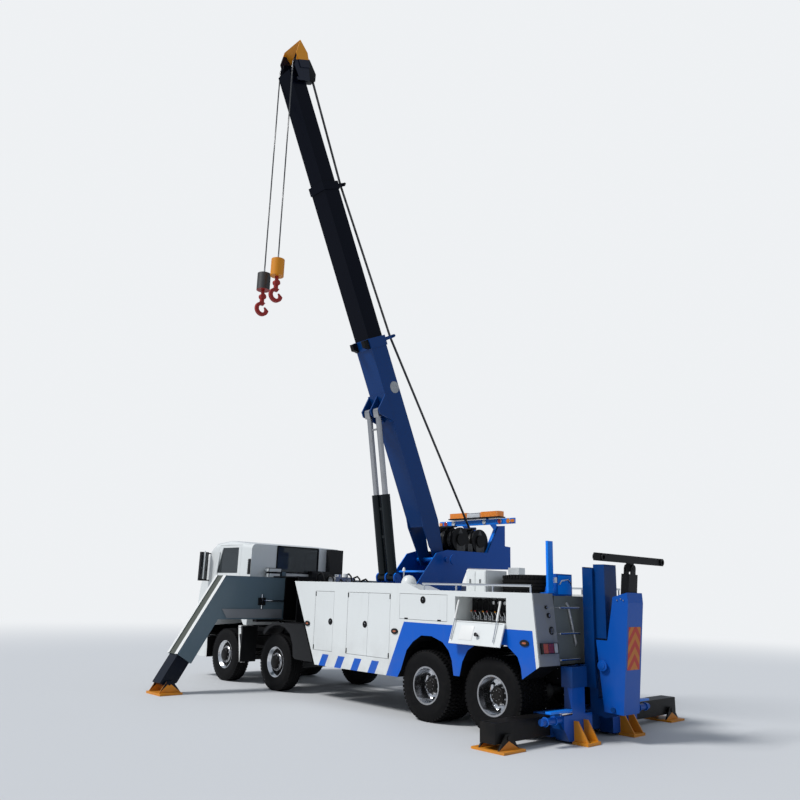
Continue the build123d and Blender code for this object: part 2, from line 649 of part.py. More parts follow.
# locker doors: side, rear edge, front edge, bottom, top, latch X and Z (none where the next door laps it)
lockers = {
    "locker_1_left": (1, 3710.0, 4259.0, 872.0, 1917.0, (3783.0, 1388.0)),
    "locker_2_left": (1, 2749.0, 3304.0, 872.0, 1917.0, (2818.0, 1388.0)),
    "locker_3_left": (1, 2187.0, 2743.0, 872.0, 1917.0, None),
    "locker_4_left": (1, 877.0, 1951.0, 1527.0, 1925.0, (1407.0, 1839.0)),
    "locker_1_right": (-1, 3710.0, 4259.0, 872.0, 1917.0, (3783.0, 1388.0)),
    "locker_2_right": (-1, 2187.0, 3304.0, 872.0, 1917.0, (2258.0, 1388.0)),
}
HATCH_X0 = -296.0
HATCH_X1 = 700.0
HATCH_Z0 = 1555.0
HATCH_Z1 = 1907.0


def side_body(side):
    """Adds one side body with its locker openings, the left one with two more above the wheels."""
    y0, y1 = sorted((side * BODY_INNER_Y, side * BODY_Y))
    slab(y0, y1, body_outline)
    y0, y1 = sorted((side * BODY_REAR_INNER_Y, side * BODY_Y))
    rear = [(x, z) for x, z in body_outline if x <= BODY_SPLIT_X]
    slab(y0, y1, [(BODY_SPLIT_X, 1060)] + rear + [(BODY_SPLIT_X, 2070)])
    y0, y1 = sorted((side * (BODY_INNER_Y + LOCKER_WALL), side * (BODY_Y + 5)))
    block(2187 - DOOR_GAP, 3304 + DOOR_GAP, y0, y1, 866, 1923, Mode.SUBTRACT)
    block(3710 - DOOR_GAP, 4259 + DOOR_GAP, y0, y1, 866, 1923, Mode.SUBTRACT)
    if side > 0:
        block(BODY_SPLIT_X - 20, 1951 + DOOR_GAP, y0, y1, 1527 - DOOR_GAP, 1925 + DOOR_GAP, Mode.SUBTRACT)
        y0 = BODY_REAR_INNER_Y + LOCKER_WALL
        block(877 - DOOR_GAP, BODY_SPLIT_X - 20, y0, y1, 1527 - DOOR_GAP, 1925 + DOOR_GAP, Mode.SUBTRACT)
        block(HATCH_X0 - DOOR_GAP, HATCH_X1 + DOOR_GAP, y0, y1, HATCH_Z0 - DOOR_GAP, HATCH_Z1 + DOOR_GAP, Mode.SUBTRACT)


# Both side bodies, and the white tool box on the rear shelf beside the stowed boom
with BuildPart() as bodies:
    side_body(1)
    side_body(-1)
    block(490, 900, 245, 770, SHELF_Z, 2330)
bodies.part.label = "bodies"
export_step(bodies.part, "parts/bodies.step")


def locker_door(name):
    """Adds one flush locker door with its round latch."""
    side, x0, x1, z0, z1, latch = lockers[name]
    y0, y1 = sorted((side * (BODY_Y - LOCKER_DOOR_T), side * BODY_Y))
    block(x0, x1, y0, y1, z0, z1)
    if latch:
        latch_plane = Plane(origin=(latch[0], side * BODY_Y, latch[1]), x_dir=(1, 0, 0), z_dir=(0, side, 0))
        with BuildSketch(latch_plane) as outline_sketch:
            Circle(48)
            Circle(30, mode=Mode.SUBTRACT)
        extrude(outline_sketch.sketch, amount=8)


with BuildPart() as locker_1_left:
    locker_door("locker_1_left")
    hinge_z(4259 + DOOR_GAP / 2, BODY_Y + HINGE_OUT, (880, 1830), -HINGE_LEAF)
locker_1_left.part.label = "locker_1_left"
export_step(locker_1_left.part, "parts/locker_1_left.step")

with BuildPart() as locker_2_left:
    locker_door("locker_2_left")
    hinge_z(3304 + DOOR_GAP / 2, BODY_Y + HINGE_OUT, (880, 1830), -HINGE_LEAF)
locker_2_left.part.label = "locker_2_left"
export_step(locker_2_left.part, "parts/locker_2_left.step")

with BuildPart() as locker_3_left:
    locker_door("locker_3_left")
    hinge_z(2187 - DOOR_GAP / 2, BODY_Y + HINGE_OUT, (880, 1830), HINGE_LEAF)
locker_3_left.part.label = "locker_3_left"
export_step(locker_3_left.part, "parts/locker_3_left.step")

with BuildPart() as locker_4_left:
    locker_door("locker_4_left")
    for x in (1000, 1750):
        rod_x(x, x + HINGE_L, BODY_Y + HINGE_OUT, 1527 - DOOR_GAP / 2, HINGE_R)
        block(x, x + HINGE_L, BODY_Y + HINGE_OUT - HINGE_LAP, BODY_Y + HINGE_OUT, 1527 - DOOR_GAP / 2, 1546)
locker_4_left.part.label = "locker_4_left"
export_step(locker_4_left.part, "parts/locker_4_left.step")

with BuildPart() as locker_1_right:
    locker_door("locker_1_right")
    hinge_z(4259 + DOOR_GAP / 2, -BODY_Y - HINGE_OUT, (880, 1830), -HINGE_LEAF)
locker_1_right.part.label = "locker_1_right"
export_step(locker_1_right.part, "parts/locker_1_right.step")

with BuildPart() as locker_2_right:
    locker_door("locker_2_right")
    hinge_z(3304 + DOOR_GAP / 2, -BODY_Y - HINGE_OUT, (880, 1830), -HINGE_LEAF)
locker_2_right.part.label = "locker_2_right"
export_step(locker_2_right.part, "parts/locker_2_right.step")

# Control hatch, stored open: it hangs from its lower edge, tipped out of the side
HATCH_HINGE_Y = BODY_Y + 2
HATCH_HINGE_Z = HATCH_Z0 - 3
HATCH_OPEN = math.radians(160.0)


def hatch_point(up, out):
    """Y and Z of a point up the open hatch from its hinge and out from its outer face's side."""
    return (HATCH_HINGE_Y + up * math.sin(HATCH_OPEN) + out * math.cos(HATCH_OPEN),
            HATCH_HINGE_Z + up * math.cos(HATCH_OPEN) - out * math.sin(HATCH_OPEN))


hatch_height = HATCH_Z1 - HATCH_Z0
with BuildPart() as hatch_left:
    plate(HATCH_X0, HATCH_X1, [
        hatch_point(3, -2), hatch_point(3, -2 - LOCKER_DOOR_T), hatch_point(3 + hatch_height, -2 - LOCKER_DOOR_T),
        hatch_point(3 + hatch_height, -2),
    ])
    for x in (-200, 520):
        rod_x(x, x + HINGE_L, HATCH_HINGE_Y, HATCH_HINGE_Z, HINGE_R)
        plate(x, x + HINGE_L, [hatch_point(0, 0), hatch_point(HINGE_LEAF, 0), hatch_point(HINGE_LEAF, -HINGE_LAP),
                               hatch_point(0, -HINGE_LAP)])
hatch_left.part.label = "hatch_left"
export_step(hatch_left.part, "parts/hatch_left.step")

# Deck plate, rear panels, spare wheel shelf, lever bank behind the hatch
with BuildPart() as deck:
    block(-770, 4280, -BODY_REAR_INNER_Y, BODY_REAR_INNER_Y, DECK_Z - 30, DECK_Z)
    block(BODY_SPLIT_X, 4280, -BODY_INNER_Y, BODY_INNER_Y, DECK_Z - 30, DECK_Z)
    block(4200, 4900, -865, 865, DECK_Z - 30, DECK_Z)
    rod_z(TURRET_X, 0, DECK_Z - 40, DECK_Z + 10, 590, Mode.SUBTRACT)
    block(-790, -770, -BODY_REAR_INNER_Y, BODY_REAR_INNER_Y, RAIL_TOP_Z, SHELF_Z - 20)
    block(-790, 900, -BODY_REAR_INNER_Y, BODY_REAR_INNER_Y, SHELF_Z - 20, SHELF_Z)
    block(880, 900, -BODY_REAR_INNER_Y, BODY_REAR_INNER_Y, DECK_Z, SHELF_Z - 20)
    block(4880, 4900, -865, 865, DECK_Z, 1700)
    block(-280, 690, BODY_REAR_INNER_Y + LOCKER_WALL, 860, 1560, 1890)
    for x in (-180, -60, 60, 180, 300, 420, 540):
        block(x - 22, x + 22, 855, 935, 1580, 1720)
        rod_z(x, 915, 1715, 1860, 9)
        with Locations((x, 915, 1865)):
            Sphere(18)
deck.part.label = "deck"
export_step(deck.part, "parts/deck.step")

# Spare wheel lying on the rear shelf
SPARE_X = -100.0
SPARE_Y = 230.0
SPARE_Z = SHELF_Z
with BuildPart() as spare_wheel:
    with BuildSketch(Plane.XZ.offset(-SPARE_Y)):
        with BuildLine():
            Polyline(
                (SPARE_X + 170, SPARE_Z), (SPARE_X + TYRE_R - 45, SPARE_Z), (SPARE_X + TYRE_R, SPARE_Z + 45),
                (SPARE_X + TYRE_R, SPARE_Z + 260), (SPARE_X + TYRE_R - 45, SPARE_Z + 302),
                (SPARE_X + 300, SPARE_Z + 302), (SPARE_X + 285, SPARE_Z + 272), (SPARE_X + 170, SPARE_Z + 272),
                close=True,
            )
        make_face()
    revolve(axis=Axis((SPARE_X, SPARE_Y, 0), (0, 0, 1)), revolution_arc=360)
spare_wheel.part.label = "spare_wheel"
export_step(spare_wheel.part, "parts/spare_wheel.step")

# Handrails on the body tops and the ladder at the rear
with BuildPart() as rails:
    for side in (-1, 1):
        rod_x(-720, 1480, side * 1190, BODY_REAR_TOP_Z + 100, 17)
        for x in (-700, 0, 740, 1440):
            rod_z(x, side * 1190, BODY_REAR_TOP_Z, BODY_REAR_TOP_Z + 100, 14)
        for z in (1080, 1440, 1800):
            y0, y1 = sorted((side * 250, side * 740))
            rod_y(-880, y0, y1, z, 14)
            for y in (255, 735):
                rod_x(-880, -790, side * y, z, 12)
rails.part.label = "rails"
export_step(rails.part, "parts/rails.step")


# Front outriggers: a sliding box arm with a slanted sleeve, and an inner leg with its foot
LEG_C = math.cos(math.radians(LEG_ANGLE))
LEG_S = -math.sin(math.radians(LEG_ANGLE))
INNER_LEG_H = LEG_H - 2 * (LEG_WALL + LEG_SLIDE_GAP)


def leg_point(side, along, up):
    """Y and Z of a point down the slanted leg from its sleeve's mouth and out from its axis."""
    return (side * (LEG_END_Y + along * LEG_C - up * LEG_S), LEG_END_Z + along * LEG_S + up * LEG_C)


def outrigger_arm(side, x0):
    """Adds one front arm: the box that slides in the housing and its slanted sleeve."""
    to_top = (ARM_TOP_Z - LEG_END_Z - LEG_H / 2 * LEG_C) / LEG_S
    to_bottom = (ARM_BOTTOM_Z - LEG_END_Z + LEG_H / 2 * LEG_C) / LEG_S
    plate(x0, x0 + ARM_W, [
        (side * ARM_INNER_Y, ARM_BOTTOM_Z), (side * ARM_INNER_Y, ARM_TOP_Z), leg_point(side, to_top, LEG_H / 2),
        leg_point(side, 0, LEG_H / 2), leg_point(side, 0, -LEG_H / 2), leg_point(side, to_bottom, -LEG_H / 2),
    ])
    # wear pads that run on the housing's walls
    pad = ARM_SIDE_GAP - PAD_GAP
    y0, y1 = sorted((side * ARM_INNER_Y, side * (ARM_INNER_Y + PAD_L)))
    block(x0 - pad, x0 + ARM_W + pad, y0, y1, ARM_BOTTOM_Z - pad, ARM_TOP_Z + pad)
    # hollow sleeve for the inner leg
    with BuildSketch(cross_plane(x0 + 40)) as outline_sketch:
        with BuildLine():
            Polyline(
                leg_point(side, 50, INNER_LEG_H / 2 + LEG_SLIDE_GAP),
                leg_point(side, 50, -INNER_LEG_H / 2 - LEG_SLIDE_GAP),
                leg_point(side, -1500, -INNER_LEG_H / 2 - LEG_SLIDE_GAP),
                leg_point(side, -1500, INNER_LEG_H / 2 + LEG_SLIDE_GAP),
                close=True,
            )
        make_face()
    extrude(outline_sketch.sketch, amount=ARM_W - 80, mode=Mode.SUBTRACT)
    # flanges that stand along the edges of the sleeve's outer face
    for x in (x0, x0 + ARM_W - 70):
        plate(x, x + 70, [
            leg_point(side, 0, LEG_H / 2), leg_point(side, 0, LEG_H / 2 + 14), leg_point(side, to_top, LEG_H / 2 + 14),
            leg_point(side, to_top, LEG_H / 2),
        ])


def outrigger_leg(side, x0):
    """Adds one inner leg with its foot plate, two ribs and pin."""
    half = INNER_LEG_H / 2
    plate(x0 + 48, x0 + ARM_W - 48, [
        leg_point(side, -900, -half), leg_point(side, 400, -half), leg_point(side, 520, -60),
        leg_point(side, 560, 30), leg_point(side, 570, half), leg_point(side, -900, half),
    ])
    # wear pads that run on the sleeve's walls
    grown = half + LEG_SLIDE_GAP - PAD_GAP
    for along in (-890, -150):
        plate(x0 + 40 + PAD_GAP, x0 + ARM_W - 40 - PAD_GAP, [
            leg_point(side, along, -grown), leg_point(side, along + PAD_L, -grown),
            leg_point(side, along + PAD_L, grown), leg_point(side, along, grown),
        ])
    pin_y, pin_z = leg_point(side, LEG_PIN_ALONG, 0)
    rod_x(x0 - 10, x0 + ARM_W + 10, pin_y, pin_z, 32)
    y0, y1 = sorted((pin_y - 245, pin_y + 205))
    block(x0 - 75, x0 + ARM_W + 75, y0, y1, 0, 40)
    for x in (x0 - 8, x0 + ARM_W - 14):
        plate(x, x + 22, [
            (y0 + 10, 40), (y1 - 10, 40), (pin_y + 60, pin_z + 40), (pin_y - 60, pin_z + 40),
        ])


with BuildPart() as arm_left:
    outrigger_arm(1, LEFT_ARM_X)
arm_left.part.label = "arm_left"
export_step(arm_left.part, "parts/arm_left.step")

with BuildPart() as arm_right:
    outrigger_arm(-1, RIGHT_ARM_X)
arm_right.part.label = "arm_right"
export_step(arm_right.part, "parts/arm_right.step")

with BuildPart() as leg_left:
    outrigger_leg(1, LEFT_ARM_X)
leg_left.part.label = "leg_left"
export_step(leg_left.part, "parts/leg_left.step")

with BuildPart() as leg_right:
    outrigger_leg(-1, RIGHT_ARM_X)
leg_right.part.label = "leg_right"
export_step(leg_right.part, "parts/leg_right.step")


# Rear stabiliser frame: two upright legs in sleeves, a cross tube for the beams, pads and towing lugs
with BuildPart() as stabiliser:
    block(STAB_X0, STAB_X1, -STAB_HALF_W, STAB_HALF_W, STAB_Z0, STAB_Z1)
    block(STAB_X0 + STAB_WALL, STAB_X1 - STAB_WALL, -STAB_HALF_W, STAB_HALF_W, STAB_Z0 + STAB_WALL,
          STAB_Z1 - STAB_WALL, Mode.SUBTRACT)
    for side in (-1, 1):
        plate(-1062, STAB_X0, [(side * 270, 40), (side * 270, STAB_Z1), (side * STAB_HALF_W, STAB_Z1),
                               (side * STAB_HALF_W, 200), (side * 840, 40)])
        y0, y1 = sorted((side * (STAB_LEG_Y - STAB_LEG_HALF_W), side * (STAB_LEG_Y + STAB_LEG_HALF_W)))
        block(STAB_LEG_X0, STAB_LEG_X1, y0, y1, 300, 990)
        y0, y1 = sorted((side * 440, side * 760))
        block(-1300, -1040, y0, y1, 0, 40)
        for y in (side * 480, side * 720):
            slab(y - 10, y + 10, [(-1290, 40), (-1062, 40), (-1062, 300), (-1130, 300)])
        y0, y1 = sorted((side * 940, side * 1400))
        rod_y(-1000, y0, y1, STAB_Z1 - 50, 45)
stabiliser.part.label = "stabiliser"
export_step(stabiliser.part, "parts/stabiliser.step")


def rear_beam(side, foot_y, inner_y):
    """Adds one rear beam with its foot plate, two uprights and pin."""
    x0 = STAB_X0 + STAB_WALL + BEAM_GAP
    x1 = STAB_X1 - STAB_WALL - BEAM_GAP
    pad = BEAM_GAP - PAD_GAP
    middle = (x0 + x1) / 2
    y0, y1 = sorted((inner_y, foot_y + side * 225))
    block(x0, x1, y0, y1, STAB_Z0 + STAB_WALL + BEAM_GAP, STAB_Z1 - STAB_WALL - BEAM_GAP)
    y0, y1 = sorted((inner_y, inner_y + side * PAD_L))
    block(x0 - pad, x1 + pad, y0, y1, STAB_Z0 + STAB_WALL + PAD_GAP, STAB_Z1 - STAB_WALL - PAD_GAP)
    block(middle - 275, middle + 275, foot_y - 225, foot_y + 225, 0, 30)
    for x in (x0 - 50, x1 + 26):
        plate(x, x + 24, [(foot_y - 200, 30), (foot_y + 200, 30), (foot_y + 60, 215), (foot_y - 60, 215)])
    rod_x(x0 - 60, x1 + 60, foot_y, 165, 32)


with BuildPart() as rear_beam_left:
    rear_beam(1, LEFT_FOOT_Y, 500)
rear_beam_left.part.label = "rear_beam_left"
export_step(rear_beam_left.part, "parts/rear_beam_left.step")

with BuildPart() as rear_beam_right:
    rear_beam(-1, RIGHT_FOOT_Y, -660)
rear_beam_right.part.label = "rear_beam_right"
export_step(rear_beam_right.part, "parts/rear_beam_right.step")

# Turret: base drum, two cheeks with sloped noses, cross plates and cylinder feet
cheek_outline = [
    (-560, 1450), (600, 1450), (620, 1919), (388, 2186), (-28, 2667), (-311, 2738), (-1470, 2745), (-1813, 3300),
    (-2035, 3320), (-2035, 2910), (-2210, 2900), (-2210, 2450), (-900, 2430), (-760, 2180),
]
with BuildPart() as turret:
    rod_z(TURRET_X, 0, 1421, 1460, 600)
    for side in (-1, 1):
        x0 = TURRET_X + min(side * CHEEK_X, side * (CHEEK_X - CHEEK_T))
        plate(x0, x0 + CHEEK_T, cheek_outline)
    inner_x0 = TURRET_X - CHEEK_X + CHEEK_T
    inner_x1 = TURRET_X + CHEEK_X - CHEEK_T
    plate(inner_x0, inner_x1, [(-560, 1450), (-760, 2180), (-900, 2430), (-2210, 2450), (-2210, 2470),
                               (-890, 2452), (-742, 2190), (-540, 1455)])
    plate(inner_x0, inner_x1, [(560, 1455), (580, 1455), (600, 1900), (580, 1900)])
    plate(inner_x0, inner_x1, [(-2210, 2450), (-2190, 2450), (-2190, 2890), (-2210, 2890)])
    plate(inner_x0, inner_x1, [(180, 2290), (205, 2310), (175, 2345), (150, 2325)])
    # cylinder feet: three lugs, two pins
    for x in (TURRET_X - LUG_X - 30, TURRET_X - 15, TURRET_X + LUG_X):
        plate(x, x + 30, [(300, 1455), (560, 1455), (800, 2060), (868, 2140), (880, 2200), (868, 2245),
                          (832, 2275), (780, 2275), (730, 2240)])
    rod_x(TURRET_X - LUG_X - 35, TURRET_X + LUG_X + 35, FOOT_PIN_Y, FOOT_PIN_Z, FOOT_PIN_R)
    # boom pivot pin
    rod_x(TURRET_X - CHEEK_X - 25, TURRET_X + CHEEK_X + 25, PIVOT_Y, PIVOT_Z, PIVOT_R)
turret.part.label = "turret"
export_step(turret.part, "parts/turret.step")

# Two winches side by side on the turret tail
winches_y = (-760.0, -1330.0)
with BuildPart() as winches:
    for y in winches_y:
        rod_x(TURRET_X - 330, TURRET_X + 330, y, 2960, 150)
        for x in (-340, -120, 100, 300):
            rod_x(TURRET_X + x, TURRET_X + x + 30, y, 2960, 235)
        block(TURRET_X - CHEEK_X + CHEEK_T, TURRET_X + CHEEK_X - CHEEK_T, y - 180, y + 180, 2690, 2740)
        for x in (-345, 305):
            block(TURRET_X + x, TURRET_X + x + 40, y - 120, y + 120, 2745, 2960)
winches.part.label = "winches"
export_step(winches.part, "parts/winches.step")

# Lamp board and beacon bar across the turret, above the winches
BOARD_Y = -1600.0
with BuildPart() as lamp_board:
    block(TURRET_X - 1000, TURRET_X + 1000, BOARD_Y - 20, BOARD_Y + 20, 3310, 3420)
    for x in (-860, -640, 600, 820):
        rod_y(TURRET_X + x, BOARD_Y + 19, BOARD_Y + 42, 3365, 42)
    for x in (-960, 960):
        block(TURRET_X + x - 40, TURRET_X + x + 40, BOARD_Y + 19, BOARD_Y + 38, 3335, 3395)
    block(TURRET_X - 680, TURRET_X + 680, BOARD_Y - 105, BOARD_Y + 105, 3440, 3462)
    for x in (-420, 420):
        with BuildSketch(Plane(origin=(TURRET_X + x, BOARD_Y, 3460), x_dir=(1, 0, 0), z_dir=(0, 0, 1))):
            RectangleRounded(500, 210, 60)
        extrude(amount=107)
    for x in (-300, 300):
        block(TURRET_X + x - 20, TURRET_X + x + 20, BOARD_Y - 20, BOARD_Y + 20, 3415, 3445)
    # brackets on the inner faces of the cheek ears
    for x in (TURRET_X - CHEEK_X + CHEEK_T, TURRET_X + CHEEK_X - CHEEK_T - 12):
        plate(x, x + 12, [(BOARD_Y + 15, 3320), (BOARD_Y + 15, 3400), (-1700, 3400), (-1830, 3280), (-1830, 3180),
                          (-1760, 3180)])
lamp_board.part.label = "lamp_board"
export_step(lamp_board.part, "parts/lamp_board.step")


def boom_tube(t0, t1, w, h):
    """Adds one hollow boom section from t0 to t1 along the boom."""
    with BuildSketch(boom_plane(t0)) as outline_sketch:
        Rectangle(w, h)
        Rectangle(w - 2 * BOOM_WALL, h - 2 * BOOM_WALL, mode=Mode.SUBTRACT)
    extrude(outline_sketch.sketch, amount=t1 - t0)


def boom_collar(t0, t1, w, h, wall):
    """Adds the thick collar at a section's mouth."""
    with BuildSketch(boom_plane(t0)) as outline_sketch:
        Rectangle(w + 2 * wall, h + 2 * wall)
        Rectangle(w - 2, h - 2, mode=Mode.SUBTRACT)
    extrude(outline_sketch.sketch, amount=t1 - t0)


def boom_side(x0, x1, points):
    """Prism along X over an outline of points along the boom and above its axis."""
    plate(TURRET_X + x0, TURRET_X + x1, [boom_point(t, n) for t, n in points])


def rope_guide(t, reach):
    """Adds two posts and a roller that carry the ropes above a collar."""
    for x in (-130, 110):
        boom_side(x, x + 20, [(t - 60, 190), (t + 10, 190), (t + 30, reach), (t - 30, reach)])
    y, z = boom_point(t, reach - 30)
    rod_x(TURRET_X - 165, TURRET_X + 165, y, z, 22)


# Base section with its root ears and cylinder lug
with BuildPart() as boom_base:
    boom_tube(BASE_FROM_T, BASE_TO_T, BASE_W, BASE_H)
    boom_collar(BASE_TO_T - 190, BASE_TO_T, BASE_W, BASE_H, 16)
    for x in (-BASE_W / 2, BASE_W / 2 - 26):
        boom_side(x, x + 26, [
            (EAR_TO_T, -BASE_H / 2), (BASE_FROM_T + 10, -BASE_H / 2 - 30), (2330, -190), (2130, -190),
            (2050, -75), (2130, 60), (BASE_FROM_T, 200), (EAR_TO_T, 200),
        ])
    boom_side(-BASE_W / 2 + 10, BASE_W / 2 - 10, [
        (BASE_FROM_T, -200), (BASE_FROM_T + 20, -200), (BASE_FROM_T + 20, 200), (BASE_FROM_T, 200),
    ])
    for x in (-BASE_W / 2, BASE_W / 2 - 26):
        rod_x(TURRET_X + x, TURRET_X + x + 26, PIVOT_Y, PIVOT_Z, PIVOT_R + RUNNING_GAP, Mode.SUBTRACT)
    # doubler and three lugs for the two cylinder rods
    boom_side(-LUG_X - 30, LUG_X + 30, [
        (ROD_PIN_T - 280, -BASE_H / 2), (ROD_PIN_T + 280, -BASE_H / 2), (ROD_PIN_T + 280, -BASE_H / 2 - 20),
        (ROD_PIN_T - 280, -BASE_H / 2 - 20),
    ])
    for x in (-LUG_X - 30, -15, LUG_X):
        boom_side(x, x + 30, [
            (ROD_PIN_T - 260, -BASE_H / 2 - 19), (ROD_PIN_T + 260, -BASE_H / 2 - 19),
            (ROD_PIN_T + 90, -ROD_PIN_DROP - 20), (ROD_PIN_T + 50, -ROD_PIN_DROP - 75),
            (ROD_PIN_T - 50, -ROD_PIN_DROP - 75), (ROD_PIN_T - 90, -ROD_PIN_DROP - 20),
        ])
    pin_y, pin_z = boom_point(ROD_PIN_T, -ROD_PIN_DROP)
    rod_x(TURRET_X - LUG_X - 28, TURRET_X + LUG_X + 28, pin_y, pin_z, ROD_PIN_R)
    rope_guide(BASE_TO_T - 60, 560)
boom_base.part.label = "boom_base"
export_step(boom_base.part, "parts/boom_base.step")

with BuildPart() as boom_mid:
    boom_tube(MID_FROM_T, MID_TO_T, MID_W, MID_H)
    boom_collar(MID_TO_T - 150, MID_TO_T, MID_W, MID_H, 16)
    boom_collar(MID_FROM_T, MID_FROM_T + PAD_L, MID_W, MID_H, (BASE_W - MID_W) / 2 - BOOM_WALL - PAD_GAP)
    rope_guide(MID_TO_T - 50, 430)
boom_mid.part.label = "boom_mid"
export_step(boom_mid.part, "parts/boom_mid.step")

# Tip section with the head: side plates, sheaves, roller guards and the guard hoop
with BuildPart() as boom_tip:
    boom_tube(TIP_FROM_T, TIP_TO_T, TIP_W, TIP_H)
    boom_collar(TIP_FROM_T, TIP_FROM_T + PAD_L, TIP_W, TIP_H, (MID_W - TIP_W) / 2 - BOOM_WALL - PAD_GAP)
    boom_side(-TIP_W / 2, TIP_W / 2, [
        (TIP_TO_T - 20, -TIP_H / 2), (TIP_TO_T, -TIP_H / 2), (TIP_TO_T, TIP_H / 2), (TIP_TO_T - 20, TIP_H / 2),
    ])
    for x in (-SHEAVE_X - 45, -SHEAVE_X + 29, SHEAVE_X - 45, SHEAVE_X + 29):
        boom_side(x, x + 16, [
            (TIP_TO_T - 220, -40), (TIP_TO_T + 60, -60), (TIP_TO_T + 250, 60), (TIP_TO_T + 250, 230),
            (TIP_TO_T + 90, 285), (TIP_TO_T - 220, 200),
        ])
    boom_side(-SHEAVE_X + 29, SHEAVE_X - 29, [
        (TIP_TO_T - 25, -60), (TIP_TO_T + 40, -60), (TIP_TO_T + 40, 150), (TIP_TO_T - 25, 150),
    ])
    for side in (-1, 1):
        x = TURRET_X + side * SHEAVE_X
        rod_x(x - 22, x + 22, SHEAVE_Y, SHEAVE_Z, SHEAVE_R - ROPE_R - 1)
        rod_x(x - 44, x + 44, SHEAVE_Y, SHEAVE_Z, 34)
    for side in (-1, 1):
        x0, x1 = sorted((side * (SHEAVE_X - 45), side * (SHEAVE_X + 45)))
        boom_side(x0, x1, [
            (TIP_TO_T - 160, -90), (TIP_TO_T - 160, -50), (TIP_TO_T - 215, -40), (TIP_TO_T - 215, -90),
        ])
    # guard hoop over the head
    for x in (-SHEAVE_X - 59, SHEAVE_X + 45):
        boom_side(x, x + 14, [
            (TIP_TO_T + 20, 60), (TIP_TO_T + 300, 60), (TIP_TO_T + 540, 250), (TIP_TO_T + 300, 330),
            (TIP_TO_T + 20, 280),
        ])
    boom_side(-SHEAVE_X - 46, SHEAVE_X + 46, [
        (TIP_TO_T + 300, 315), (TIP_TO_T + 540, 238), (TIP_TO_T + 545, 252), (TIP_TO_T + 305, 332),
    ])
boom_tip.part.label = "boom_tip"
export_step(boom_tip.part, "parts/boom_tip.step")

# Lift cylinders: two barrels as one body, two rods as one body
rod_end_y, rod_end_z = boom_point(ROD_PIN_T, -ROD_PIN_DROP)
lift_length = math.hypot(rod_end_y - FOOT_PIN_Y, rod_end_z - FOOT_PIN_Z)
LIFT_C = (rod_end_y - FOOT_PIN_Y) / lift_length
LIFT_S = (rod_end_z - FOOT_PIN_Z) / lift_length
BARREL_TO = 1480.0
ROD_FROM = 1170.0
BORE_FROM = 105.0


def lift_plane(x, along):
    """Plane square to the lift cylinder at a distance from its foot pin."""
    return Plane(
        origin=(TURRET_X + x, FOOT_PIN_Y + along * LIFT_C, FOOT_PIN_Z + along * LIFT_S),
        x_dir=(1, 0, 0), z_dir=(0, LIFT_C, LIFT_S),
    )


with BuildPart() as lift_barrels:
    for x in (-CYLINDER_X, CYLINDER_X):
        with BuildSketch(lift_plane(x, 60)):
            Circle(BARREL_R)
        extrude(amount=BARREL_TO - 60)
        with BuildSketch(lift_plane(x, BORE_FROM)):
            Circle(ROD_R + RUNNING_GAP)
        extrude(amount=BARREL_TO - BORE_FROM + 20, mode=Mode.SUBTRACT)
        rod_x(TURRET_X + x - 85, TURRET_X + x + 85, FOOT_PIN_Y, FOOT_PIN_Z, 70)
        rod_x(TURRET_X + x - 86, TURRET_X + x + 86, FOOT_PIN_Y, FOOT_PIN_Z, FOOT_PIN_R + RUNNING_GAP, Mode.SUBTRACT)
    for along in (700, 1200):
        with BuildSketch(lift_plane(0, along)):
            Rectangle(110, 60)
        extrude(amount=50)
lift_barrels.part.label = "lift_barrels"
export_step(lift_barrels.part, "parts/lift_barrels.step")

def lift_point(along, up):
    """Y and Z of a point along the lift cylinder from its foot pin and up towards the boom."""
    return (FOOT_PIN_Y + along * LIFT_C - up * LIFT_S, FOOT_PIN_Z + along * LIFT_S + up * LIFT_C)


# The rod eyes are saddles open on the boom's side, where the pins leave them as the boom comes down
saddle_along = (math.cos(math.radians(114)), math.sin(math.radians(114)))
SADDLE_HALF_W = 44.0


def saddle_corner(along, across):
    """Corner of the saddle's mouth, along its opening and across it."""
    return lift_point(
        lift_length + along * saddle_along[0] + across * saddle_along[1],
        along * saddle_along[1] - across * saddle_along[0],
    )


with BuildPart() as lift_rods:
    for x in (-CYLINDER_X, CYLINDER_X):
        with BuildSketch(lift_plane(x, ROD_FROM)):
            Circle(ROD_R)
        extrude(amount=lift_length - ROD_FROM - 110)
        with BuildSketch(cross_plane(TURRET_X + x - 65)):
            with Locations((rod_end_y, rod_end_z)):
                Circle(62)
            with BuildLine():
                Polyline(
                    lift_point(lift_length - 115, -50), lift_point(lift_length - 115, 24),
                    lift_point(lift_length - 62, 10), lift_point(lift_length, -10), lift_point(lift_length, -62),
                    lift_point(lift_length - 60, -58), close=True,
                )
            make_face()
            with Locations((rod_end_y, rod_end_z)):
                Circle(ROD_PIN_R + EYE_CLEARANCE, mode=Mode.SUBTRACT)
            with BuildLine():
                Polyline(
                    saddle_corner(0, -SADDLE_HALF_W), saddle_corner(100, -SADDLE_HALF_W),
                    saddle_corner(100, SADDLE_HALF_W), saddle_corner(0, SADDLE_HALF_W), close=True,
                )
            make_face(mode=Mode.SUBTRACT)
        extrude(amount=130)
    rod_x(TURRET_X - CYLINDER_X, TURRET_X + CYLINDER_X, FOOT_PIN_Y + (lift_length - 330) * LIFT_C,
          FOOT_PIN_Z + (lift_length - 330) * LIFT_S, 18)
lift_rods.part.label = "lift_rods"
export_step(lift_rods.part, "parts/lift_rods.step")

# Hoist lines: a rope from each sheave, a weight and a swivel hook
ROPE_Y = SHEAVE_Y + SHEAVE_R
ROPE_TOP_Z = SHEAVE_Z
hook_rows = (("left", SHEAVE_X, 7190.0), ("right", -SHEAVE_X, 7330.0))


